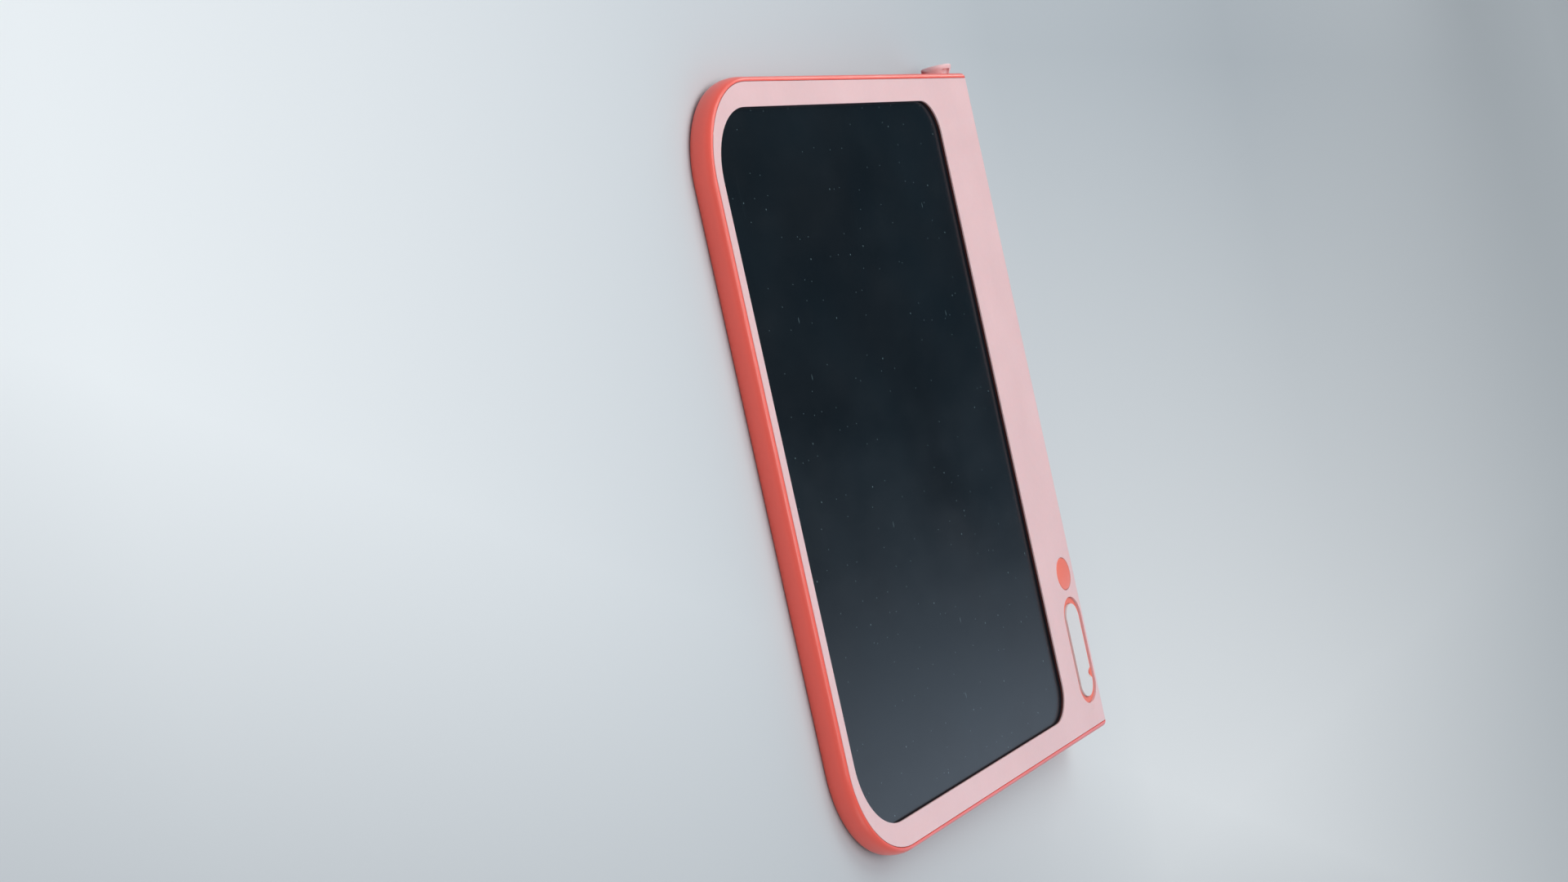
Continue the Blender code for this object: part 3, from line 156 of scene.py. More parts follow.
def pick(item: Item, kind: Pick, test: Callable[..., bool]) -> int:
    """Select, in edit mode, the elements that pass a test.

    Args:
        item: Object in edit mode.
        kind: Whether vertices or edges are selected.
        test: Takes a place for a vertex, and two ends and the angle between its faces for an edge.

    Returns:
        How many elements were selected.
    """
    bpy.ops.mesh.select_mode(type=kind.value)
    bpy.ops.mesh.select_all(action="DESELECT")
    shape = bmesh.from_edit_mesh(item.data)
    if kind is Pick.VERTS:
        found = [v for v in shape.verts if test(v.co)]
    else:
        found = [e for e in shape.edges
                 if test(e.verts[0].co, e.verts[1].co, e.calc_face_angle(0.0))]
    for element in found:
        element.select_set(True)
    shape.select_flush_mode()
    bmesh.update_edit_mesh(item.data)
    return len(found)


def clean(item: Item, outwards: bool = False) -> Item:
    """Merge doubled points and drop slivers, and turn a plain shape's faces outwards.

    Args:
        item: Object to clean.
        outwards: Whether its normals are worked out again.

    Returns:
        The same object.
    """
    with editing(item):
        bpy.ops.mesh.select_mode(type="VERT")
        bpy.ops.mesh.select_all(action="SELECT")
        bpy.ops.mesh.remove_doubles(threshold=MERGE)
        bpy.ops.mesh.dissolve_degenerate(threshold=MERGE)
        if outwards:
            bpy.ops.mesh.select_all(action="SELECT")
            bpy.ops.mesh.normals_make_consistent(inside=False)
    return item


class Outline:
    """Outline drawn in edit mode: straight runs by extruding a point, arcs by spinning it."""

    def __init__(self, name: str, start: Point) -> None:
        """Start at a point: a small plane whose corners are merged into one.

        Args:
            name: Name of the object.
            start: Where the outline starts.
        """
        deselect_all()
        bpy.ops.mesh.primitive_plane_add(size=START_SIZE, location=start)
        self.item: Item = bpy.context.object
        self.item.name = name
        bpy.ops.object.transform_apply(location=True, rotation=False, scale=False)
        bpy.ops.object.mode_set(mode="EDIT")
        bpy.ops.mesh.select_mode(type="VERT")
        bpy.ops.mesh.select_all(action="SELECT")
        bpy.ops.mesh.merge(type="CENTER")
        self.at = Vector(start)

    def run(self, *points: Sequence[float]) -> "Outline":
        """Draw straight runs to each point in turn.

        Args:
            *points: Ends of the runs.

        Returns:
            The same outline.
        """
        for point in points:
            move = Vector(point) - self.at
            bpy.ops.mesh.extrude_region_move(TRANSFORM_OT_translate={"value": move})
            self.at = Vector(point)
        return self

    def arc(self, centre: Sequence[float], angle: float, axis: Point, steps: int) -> "Outline":
        """Draw an arc round a centre.

        Args:
            centre: Middle of the arc.
            angle: Signed turn about the axis, right-handed.
            axis: Direction that the arc turns about.
            steps: Number of chords.

        Returns:
            The same outline.
        """
        bpy.ops.mesh.spin(steps=steps, angle=-angle, center=centre, axis=axis)
        middle = Vector(centre)
        self.at = Matrix.Rotation(angle, 3, Vector(axis)) @ (self.at - middle) + middle
        return self

    def fill(self, along: Sequence[float]) -> Item:
        """Close the outline, fill it and extrude it into a solid.

        Args:
            along: Way and length of the extrusion.

        Returns:
            The solid.
        """
        bpy.ops.mesh.select_all(action="SELECT")
        bpy.ops.mesh.remove_doubles(threshold=MERGE)
        bpy.ops.mesh.edge_face_add()
        bpy.ops.mesh.extrude_region_move(TRANSFORM_OT_translate={"value": along})
        bpy.ops.object.mode_set(mode="OBJECT")
        return clean(self.item, outwards=True)

    def turn(self, centre: Sequence[float], axis: Point, steps: int = ROUND_STEPS) -> Item:
        """Spin the outline all the way round an axis into a solid.

        Args:
            centre: Place on the axis.
            axis: Direction of the axis.
            steps: Number of chords round it.

        Returns:
            The solid.
        """
        bpy.ops.mesh.select_all(action="SELECT")
        bpy.ops.mesh.spin(steps=steps, angle=2 * math.pi, center=centre, axis=axis)
        bpy.ops.object.mode_set(mode="OBJECT")
        return clean(self.item, outwards=True)


def rounded_slab(name: str, low: Flat, high: Flat, radii: Sequence[float], base: float, top: float,
                 segments: int = 20) -> Item:
    """Slab with rounded corners: a plane at its size, its corners bevelled, then extruded.

    Args:
        name: Name of the object.
        low: Lowest X and Y.
        high: Highest X and Y.
        radii: Corner radii, counter-clockwise from the low corner.
        base: Lowest Z.
        top: Highest Z.
        segments: Number of chords in a corner.

    Returns:
        The solid slab.
    """
    deselect_all()
    middle = ((low[0] + high[0]) / 2, (low[1] + high[1]) / 2, base)
    bpy.ops.mesh.primitive_plane_add(size=1, location=middle)
    item = bpy.context.object
    item.name = name
    item.scale = (high[0] - low[0], high[1] - low[1], 1)
    bpy.ops.object.transform_apply(location=True, rotation=False, scale=True)
    corners = ((low[0], low[1]), (high[0], low[1]), (high[0], high[1]), (low[0], high[1]))
    most = min(high[0] - low[0], high[1] - low[1]) / 2 - MERGE / 4
    with editing(item):
        for corner, radius in zip(corners, radii):
            if radius > 0:
                spot = Vector((*corner, base))
                pick(item, Pick.VERTS, lambda co: (co - spot).length < HAIR)
                bpy.ops.mesh.bevel(offset=min(radius, most), segments=segments,
                                   affect="VERTICES", profile=0.5, clamp_overlap=False)
        bpy.ops.mesh.select_all(action="SELECT")
        bpy.ops.mesh.extrude_region_move(TRANSFORM_OT_translate={"value": (0, 0, top - base)})
    return clean(item, outwards=True)


def capsule(name: str, centre: Flat, length: float, width: float, base: float, top: float,
            segments: int = 24) -> Item:
    """Slab whose ends are half circles.

    Args:
        name: Name of the object.
        centre: Its middle in X and Y.
        length: Size along X.
        width: Size along Y.
        base: Lowest Z.
        top: Highest Z.
        segments: Number of chords in a quarter of an end.

    Returns:
        The solid slab.
    """
    low = (centre[0] - length / 2, centre[1] - width / 2)
    high = (centre[0] + length / 2, centre[1] + width / 2)
    return rounded_slab(name, low, high, (width / 2,) * 4, base, top, segments)


def box(name: str, x: Flat, y: Flat, z: Flat) -> Item:
    """Block between two places on each axis, a start for cuts and joins.

    Args:
        name: Name of the object.
        x: Lowest and highest X.
        y: Lowest and highest Y.
        z: Lowest and highest Z.

    Returns:
        The block.
    """
    deselect_all()
    bpy.ops.mesh.primitive_cube_add(size=1, location=[(a + b) / 2 for a, b in (x, y, z)])
    item = bpy.context.object
    item.name = name
    item.scale = [b - a for a, b in (x, y, z)]
    bpy.ops.object.transform_apply(location=True, rotation=False, scale=True)
    return item


def drum(name: str, radius: float, low: float, high: float, centre: Flat, along: str = "Z",
         steps: int = PLAIN_STEPS) -> Item:
    """Cylinder along one axis, a start for cuts and joins.

    Args:
        name: Name of the object.
        radius: Its radius.
        low: Where it starts along its axis.
        high: Where it ends.
        centre: The other two coordinates of its axis, in order.
        along: Axis that it lies along, X, Y or Z.
        steps: Number of sides.

    Returns:
        The cylinder.
    """
    deselect_all()
    middle = (low + high) / 2
    places = {"X": (middle, *centre), "Y": (centre[0], middle, centre[1]), "Z": (*centre, middle)}
    turns = {"X": (0, QUARTER, 0), "Y": (QUARTER, 0, 0), "Z": (0, 0, 0)}
    bpy.ops.mesh.primitive_cylinder_add(vertices=steps, radius=radius, depth=high - low,
                                        location=places[along], rotation=turns[along])
    item = bpy.context.object
    item.name = name
    bpy.ops.object.transform_apply(location=True, rotation=True, scale=False)
    return item


def combine(item: Item, tool: Item, operation: str) -> Item:
    """Apply a Boolean of one object with a tool, which is used up.

    Args:
        item: Object that is changed.
        tool: Object that it is combined with.
        operation: Kind of Boolean.

    Returns:
        The changed object.
    """
    make_active(item)
    modifier = item.modifiers.new(operation.title(), "BOOLEAN")
    modifier.operation = operation
    modifier.solver = "EXACT"
    modifier.object = tool
    bpy.ops.object.modifier_apply(modifier=modifier.name)
    bpy.data.objects.remove(tool)
    return clean(item)


def carve(item: Item, *tools: Item) -> Item:
    """Cut each tool out of an object.

    Args:
        item: Object that is cut.
        *tools: What is cut out.

    Returns:
        The changed object.
    """
    for tool in tools:
        combine(item, tool, "DIFFERENCE")
    return item


def fuse(item: Item, *tools: Item) -> Item:
    """Join each tool to an object.

    Args:
        item: Object that grows.
        *tools: What is joined to it.

    Returns:
        The changed object.
    """
    for tool in tools:
        combine(item, tool, "UNION")
    return item


def trim(item: Item, tool: Item) -> Item:
    """Keep what lies inside a tool."""
    return combine(item, tool, "INTERSECT")


def round_edges(item: Item, radius: float, test: Callable[[Vector, Vector], bool],
                segments: int = 3) -> None:
    """Round an object's sharp edges whose two ends pass a test.

    Args:
        item: Object whose edges are rounded.
        radius: Width of the round.
        test: Takes the two ends of an edge.
        segments: Number of chords in the round.
    """
    with editing(item):
        found = pick(item, Pick.EDGES,
                     lambda a, b, angle: abs(angle) > SHARP_ANGLE and test(a, b))
        if found:
            bpy.ops.mesh.bevel(offset=radius, offset_type="OFFSET", segments=segments,
                               affect="EDGES", profile=0.5, clamp_overlap=True)


def anywhere(_a: Vector, _b: Vector) -> bool:
    """Test that every edge passes."""
    return True


def at_height(z: float) -> Callable[[Vector, Vector], bool]:
    """Test for edges that lie at one height."""
    return lambda a, b: abs(a.z - z) < HAIR and abs(b.z - z) < HAIR


# Finishes


class NodeSheet:
    """Node tree with short ways to add and link nodes."""

    def __init__(self, tree: bpy.types.NodeTree, coordinates: str) -> None:
        """Keep the tree and one output of its coordinates."""
        self.tree = tree
        self.place: Socket = self.add("ShaderNodeTexCoord").outputs[coordinates]

    def add(self, kind: str, inputs: dict[str | int, object] | None = None,
            **settings: object) -> bpy.types.Node:
        """Add a node, set its properties, and set or link its inputs.

        Args:
            kind: Node type.
            inputs: What goes to each input, by its name or number.
            **settings: Properties of the node.

        Returns:
            The node.
        """
        node = self.tree.nodes.new(kind)
        for key, value in settings.items():
            setattr(node, key, value)
        for key, value in (inputs or {}).items():
            self.feed(node, key, value)
        return node

    def feed(self, node: bpy.types.Node, key: str | int, value: object) -> None:
        """Link a socket to an input, or set the input's value.

        Args:
            node: Node that is fed.
            key: Name or number of its input.
            value: Socket or plain value.
        """
        if isinstance(value, bpy.types.NodeSocket):
            self.tree.links.new(value, node.inputs[key])
        else:
            node.inputs[key].default_value = value

    def sized(self, size: float, stretch: Point = (1, 1, 1)) -> Socket:
        """Object coordinates in units of a size, stretched on some axes."""
        scale = [share / size for share in stretch]
        return self.add("ShaderNodeMapping", {"Vector": self.place, "Scale": scale}).outputs[0]

    def noise(self, size: float, detail: float = 2.0, stretch: Point = (1, 1, 1)) -> Socket:
        """Noise whose grains are about a size across."""
        return self.add("ShaderNodeTexNoise", {
            "Vector": self.sized(size, stretch), "Scale": 1.0, "Detail": detail}).outputs[0]

    def fit(self, value: Socket, low: float, high: float, to_low: float = 0.0,
            to_high: float = 1.0) -> Socket:
        """Map a value from one range to another, held at its ends.

        Args:
            value: Value to map.
            low: Where the old range starts.
            high: Where it ends, above or below the start.
            to_low: What the start becomes.
            to_high: What the end becomes.

        Returns:
            The mapped value.
        """
        return self.add("ShaderNodeMapRange", {
            "Value": value, "From Min": low, "From Max": high, "To Min": to_low,
            "To Max": to_high}).outputs[0]

    def sums(self, operation: str, first: object, second: object = 0.0) -> Socket:
        """Mathematics on one or two values."""
        return self.add("ShaderNodeMath", {0: first, 1: second}, operation=operation).outputs[0]

    def mix(self, share: object, first: object, second: object) -> Socket:
        """Mix two colours."""
        values = {0: share, 6: opaque(first), 7: opaque(second)}
        return self.add("ShaderNodeMix", values, data_type="RGBA").outputs[2]

    def bump(self, height: Socket, depth: float, under: Socket | None = None) -> Socket:
        """Normal of a relief, on top of another normal.

        Args:
            height: Pattern of the relief.
            depth: How deep it is.
            under: Normal that it is added to.

        Returns:
            The new normal.
        """
        node = self.add("ShaderNodeBump", {"Height": height, "Distance": depth, "Strength": 1.0})
        if under is not None:
            self.feed(node, "Normal", under)
        return node.outputs[0]


class MaterialSheet(NodeSheet):
    """Node tree of one material."""

    def __init__(self, name: str) -> None:
        """Make the material and keep its shader.

        Args:
            name: Name of the material.
        """
        self.material = bpy.data.materials.new(name)
        self.material.use_nodes = True
        super().__init__(self.material.node_tree, "Object")
        self.shader = self.tree.nodes["Principled BSDF"]

    def finish(self, **sockets: object) -> bpy.types.Material:
        """Set or link the shader's sockets.

        Args:
            **sockets: Socket or plain value for each, with underscores for spaces in its name.

        Returns:
            The finished material.
        """
        for key, value in sockets.items():
            name = key.replace("_", " ")
            is_colour = self.shader.inputs[name].type == "RGBA"
            self.feed(self.shader, name, opaque(value) if is_colour else value)
        return self.material


def opaque(value: object) -> object:
    """Give a colour of three numbers its fourth."""
    return (*value, 1.0) if isinstance(value, tuple) and len(value) == 3 else value


def tinted(colour: Colour, share: float) -> Colour:
    """Colour with its brightness scaled."""
    return (colour[0] * share, colour[1] * share, colour[2] * share)


@dataclass(frozen=True)
class Finish:
    """What every finish has: its material's name and its material slot."""

    name: str
    slot: Slot

    def material(self) -> bpy.types.Material:
        """Build the material, each kind of finish in its own way."""
        raise NotImplementedError


@dataclass(frozen=True)
class MouldedFinish(Finish):
    """Moulded plastic or rubber: faint flow marks, handling smears, a spark-eroded grain, and
    painted shade where a finish asks for it.
    """

    colour: Colour
    roughness: float = 0.45
    mottle: float = 0.03
    mottle_size: float = 0.022
    flow_share: float = 0.7
    flow_stretch: Point = (0.5, 1, 1)
    smear: float = 0.05
    smear_size: float = 0.009
    smear_stretch: Point = (1, 0.4, 1)
    grain_size: float = 0.00045
    grains_in_speck: float = 4
    grain_depth: float = 0.000012
    wave_size: float = 0.03
    wave_depth: float = 0.00006
    specular: float = 0.5
    glow: float = 0.0
    glow_scale: float = 0.0012
    # Painted shade: an optional dark red that the colour turns to past a slanted line, standing in
    # for shade with the coral bumper's reflection in it.
    painted_shade: Colour | None = None
    painted_shade_along: Point = (1.0, 0.0, -0.8)
    painted_shade_run: Flat = (-0.1427, -0.1409)
    glow_radius: Point = (1.0, 0.32, 0.24)

    @property
    def speck_size(self) -> float:
        """Size of the specks in the colour."""
        return self.grain_size * self.grains_in_speck

    def material(self) -> bpy.types.Material:
        """Build the material.

        Returns:
            The material.
        """
        sheet = MaterialSheet(self.name)
        flow = sheet.fit(sheet.noise(self.mottle_size, 3, self.flow_stretch), *NOISE_MIDDLE)
        specks = sheet.fit(sheet.noise(self.speck_size, 2), *NOISE_SPAN)
        share = sheet.sums("ADD", sheet.sums("MULTIPLY", flow, self.flow_share),
                           sheet.sums("MULTIPLY", specks, 1 - self.flow_share))
        colour = sheet.mix(share, tinted(self.colour, 1 - self.mottle),
                           tinted(self.colour, 1 + self.mottle))
        # Painted shade and painted reflection: past a line along painted_shade_along, the colour
        # turns to a dark red.
        if self.painted_shade:
            along = sheet.add("ShaderNodeVectorMath", {0: sheet.place, 1: self.painted_shade_along},
                              operation="DOT_PRODUCT").outputs["Value"]
            colour = sheet.mix(sheet.fit(along, *self.painted_shade_run), colour, self.painted_shade)
        smears = sheet.noise(self.smear_size, 4, self.smear_stretch)
        roughness = sheet.fit(smears, *NOISE_SPAN, self.roughness - self.smear,
                              self.roughness + self.smear)
        waves = sheet.bump(sheet.noise(self.wave_size, 1), self.wave_depth)
        grain = sheet.bump(sheet.noise(self.grain_size, 3), self.grain_depth, waves)
        return sheet.finish(Base_Color=colour, Roughness=roughness, Normal=grain,
                            Specular_IOR_Level=self.specular, Subsurface_Weight=self.glow,
                            Subsurface_Radius=self.glow_radius,
                            Subsurface_Scale=self.glow_scale)


@dataclass(frozen=True)
class Sprinkle:
    """Small marks in some random cells of the screen plane.

    A mark fades in over its reach, which is counted in cells. A cell has one where its random
    number, in one channel, is above the rarity.
    """

    spacing: float
    reach: Flat
    rarity: float
    channel: int = 0
    stretch: Point = (1, 1, 1)
    strength: float = 1.0

    def share(self, sheet: NodeSheet) -> Socket:
        """Where the marks are and how strong.

        Args:
            sheet: Node tree that they are for.

        Returns:
            Zero between the marks, and the strength on them.
        """
        cells = sheet.add("ShaderNodeTexVoronoi", {
            "Vector": sheet.sized(self.spacing, self.stretch), "Scale": 1.0, "Randomness": 1.0},
            voronoi_dimensions="2D")
        near = sheet.fit(cells.outputs["Distance"], *self.reach)
        chance = sheet.add("ShaderNodeSeparateColor", {"Color": cells.outputs["Color"]})
        rare = sheet.sums("GREATER_THAN", chance.outputs[self.channel], self.rarity)
        return sheet.sums("MULTIPLY", sheet.sums("MULTIPLY", near, rare), self.strength)


FINE_DUST = Sprinkle(spacing=0.0075, reach=(0.00023 / 0.0075, 0.000092 / 0.0075), rarity=0.74)
COARSE_DUST = Sprinkle(spacing=0.021, reach=(0.00036 / 0.021, 0.000144 / 0.021), rarity=0.62)
SHORT_MARKS = Sprinkle(spacing=0.009, reach=(0.030, 0.014), rarity=0.91, channel=1,
                       stretch=(0.2, 1, 1), strength=0.6)


@dataclass(frozen=True)
class ScreenFinish(Finish):
    """Glossy liquid-crystal film: near black, with hair marks, dust and a faint blue depth."""

    name: str = "liquid_crystal_film"
    slot: Slot = Slot.SCREEN
    colour: Colour = (0.0045, 0.0080, 0.0115)
    depth_colour: Colour = (0.0058, 0.0115, 0.0165)
    dust_colour: Colour = (0.11, 0.17, 0.19)
    cloud_size: float = 0.06
    hair_size: float = 0.0016
    hair_stretch: Point = (0.06, 1, 1)
    hair_cut: Flat = (0.66, 0.74)
    hair_zone_size: float = 0.035
    hair_zone_cut: Flat = (0.5, 0.66)
    hair_strength: float = 0.05
    smear_size: float = 0.02
    smear_stretch: Point = (1, 0.6, 1)
    roughness: Flat = (0.19, 0.26)
    wave_size: float = 0.012
    wave_depth: float = 0.000010
    specular: float = 0.5

    def material(self) -> bpy.types.Material:
        """Build the material.

        Returns:
            The material.
        """
        sheet = MaterialSheet(self.name)
        clouds = sheet.fit(sheet.noise(self.cloud_size, 2), *NOISE_MIDDLE)
        colour = sheet.mix(clouds, self.colour, self.depth_colour)
        for sprinkle in (FINE_DUST, COARSE_DUST):
            colour = sheet.mix(sprinkle.share(sheet), colour, self.dust_colour)
        hairs = sheet.fit(sheet.noise(self.hair_size, 3, self.hair_stretch), *self.hair_cut)
        zones = sheet.fit(sheet.noise(self.hair_zone_size, 2), *self.hair_zone_cut)
        scratched = sheet.sums("MULTIPLY", sheet.sums("MULTIPLY", hairs, zones),
                               self.hair_strength)
        colour = sheet.mix(scratched, colour, self.dust_colour)
        colour = sheet.mix(SHORT_MARKS.share(sheet), colour, self.dust_colour)
        smears = sheet.noise(self.smear_size, 4, self.smear_stretch)
        roughness = sheet.fit(smears, *NOISE_SPAN, *self.roughness)
        waves = sheet.bump(sheet.noise(self.wave_size, 2), self.wave_depth)
        return sheet.finish(Base_Color=colour, Roughness=roughness, Normal=waves,
                            Specular_IOR_Level=self.specular)


@dataclass(frozen=True)
class MetalFinish(Finish):
    """Rolled or plated metal with fine lines along one axis."""

    colour: Colour
    stretch: Point = (0.05, 1, 1)
    line_size: float = 0.0003
    line_depth: float = 0.000006
    stain_size: float = 0.004
    stain_cut: Flat = (0.35, 0.7)
    stain_shade: float = 0.88
    roughness: Flat = (0.20, 0.38)

    def material(self) -> bpy.types.Material:
        """Build the material.

        Returns:
            The material.
        """
        sheet = MaterialSheet(self.name)
        lines = sheet.noise(self.line_size, 3, self.stretch)
        stains = sheet.fit(sheet.noise(self.stain_size, 3), *self.stain_cut)
        colour = sheet.mix(stains, tinted(self.colour, self.stain_shade), self.colour)
        roughness = sheet.fit(lines, *NOISE_SPAN, *self.roughness)
        return sheet.finish(Base_Color=colour, Roughness=roughness, Metallic=1.0,
                            Normal=sheet.bump(lines, self.line_depth))


@dataclass(frozen=True)
class BoardFinish(Finish):
    """Circuit board: green solder mask over copper tracks."""

    name: str = "solder_mask"
    slot: Slot = Slot.BOARD_GREEN
    mask: Colour = (0.012, 0.115, 0.045)
    track: Colour = (0.035, 0.21, 0.075)
    track_width: float = 0.00022
    track_depth: float = 0.00004
    track_softness: float = 0.3
    cell_length: float = 0.0065
    cell_width: float = 0.0019
    row_offset: float = 0.37
    weave_size: float = 0.0005
    weave_depth: float = 0.000008
    roughness: Flat = (0.30, 0.45)

    def material(self) -> bpy.types.Material:
        """Build the material.

        Returns:
            The material.
        """
        sheet = MaterialSheet(self.name)
        tracks = sheet.add("ShaderNodeTexBrick", {
            "Vector": sheet.place, "Scale": 1.0, "Mortar Size": self.track_width,
            "Mortar Smooth": self.track_softness, "Brick Width": self.cell_length,
            "Row Height": self.cell_width}, offset=self.row_offset).outputs["Fac"]
        weave = sheet.noise(self.weave_size, 2)
        colour = sheet.mix(tracks, self.mask, self.track)
        roughness = sheet.fit(weave, *NOISE_SPAN, *self.roughness)
        relief = sheet.bump(weave, self.weave_depth, sheet.bump(tracks, self.track_depth))
        return sheet.finish(Base_Color=colour, Roughness=roughness, Normal=relief)


@dataclass(frozen=True)
class RibbonFinish(Finish):
    """Flat flexible cable: amber film over copper lines that run along it."""

    name: str = "flex_film"
    slot: Slot = Slot.CABLE_AMBER
    film: Colour = (0.46, 0.17, 0.03)
    copper: Colour = (0.62, 0.30, 0.12)
    pitch: float = 0.0010
    waves_in_pitch: float = 0.31
    line_cut: Flat = (0.45, 0.6)
    line_depth: float = 0.00003
    smear_size: float = 0.002
    roughness: Flat = (0.25, 0.4)

    def material(self) -> bpy.types.Material:
        """Build the material.

        Returns:
            The material.
        """
        sheet = MaterialSheet(self.name)
        lines = sheet.add("ShaderNodeTexWave", {
            "Vector": sheet.sized(self.pitch), "Scale": self.waves_in_pitch,
            "Distortion": 0.0}, bands_direction="X").outputs["Fac"]
        share = sheet.fit(lines, *self.line_cut)
        colour = sheet.mix(share, self.film, self.copper)
        roughness = sheet.fit(sheet.noise(self.smear_size, 3), *NOISE_SPAN, *self.roughness)
        return sheet.finish(Base_Color=colour, Roughness=roughness,
                            Normal=sheet.bump(share, self.line_depth))


PINK = (0.800, 0.545, 0.560)
CORAL = (0.880, 0.098, 0.066)
# Dark red of the painted shade, with the coral bumper's reflection in it, on the stylus head's
# underside.
PAINTED_SHADE_RED = (0.50, 0.055, 0.055)

PINK_MATT = MouldedFinish("pink_satin_moulding", Slot.PINK_SHELL, PINK, roughness=0.46, glow=0.2)
# The stylus head's underside gets painted shade and a painted coral reflection.
PINK_HEAD = MouldedFinish("pink_head_moulding", Slot.PINK_SHELL, PINK, roughness=0.42, glow=0.2,
                          painted_shade=PAINTED_SHADE_RED)
PINK_GLOSS = MouldedFinish("pink_gloss_moulding", Slot.PINK_GLOSS, PINK, roughness=0.17,
                           smear=0.04, grain_depth=0.000002, wave_depth=0.00004, glow=0.2)
CORAL_RUBBER = MouldedFinish("coral_soft_rubber", Slot.CORAL_RUBBER, CORAL, roughness=0.33,
                             mottle=0.025, grain_depth=0.000012, specular=0.8)
CORAL_PLASTIC = MouldedFinish("coral_moulding", Slot.CORAL_PLASTIC, (0.88, 0.20, 0.145),
                              roughness=0.42, grain_depth=0.000010)
WHITE_PLASTIC = MouldedFinish("white_satin_moulding", Slot.WHITE_PLASTIC, (0.70, 0.69, 0.70),
                              roughness=0.40, mottle=0.015)
BLACK_PLASTIC = MouldedFinish("black_moulding", Slot.BLACK_PLASTIC, (0.018, 0.018, 0.019),
                              roughness=0.48, mottle=0.15)
# The foam's dark red is partly painted light: the foam's own near-black colour, plus a red tint for
# light bleeding through the pink lip.
BLACK_FOAM = MouldedFinish("black_foam", Slot.BLACK_FOAM, (0.085, 0.022, 0.020), roughness=0.85,
                           mottle=0.2, grain_size=0.0003, grain_depth=0.00006, specular=0.2)
SCREEN = ScreenFinish()
NICKEL = MetalFinish("nickel_plate", Slot.STEEL, (0.66, 0.65, 0.62))
BRIGHT_STEEL = MetalFinish("bright_steel", Slot.STEEL, (0.60, 0.60, 0.61), (1, 1, 0.2))
BOARD = BoardFinish()
RIBBON = RibbonFinish()


class Wardrobe:
    """Materials, each made once from its finish."""

    def __init__(self) -> None:
        """Start with no materials."""
        self.made: dict[str, bpy.types.Material] = {}

    def material(self, finish: Finish) -> bpy.types.Material:
        """Material of a finish.

        Args:
            finish: Finish to wear.

        Returns:
            Its material, which is made at the first call.
        """
        if finish.name not in self.made:
            self.made[finish.name] = finish.material()
        return self.made[finish.name]


# The tablet's own frame


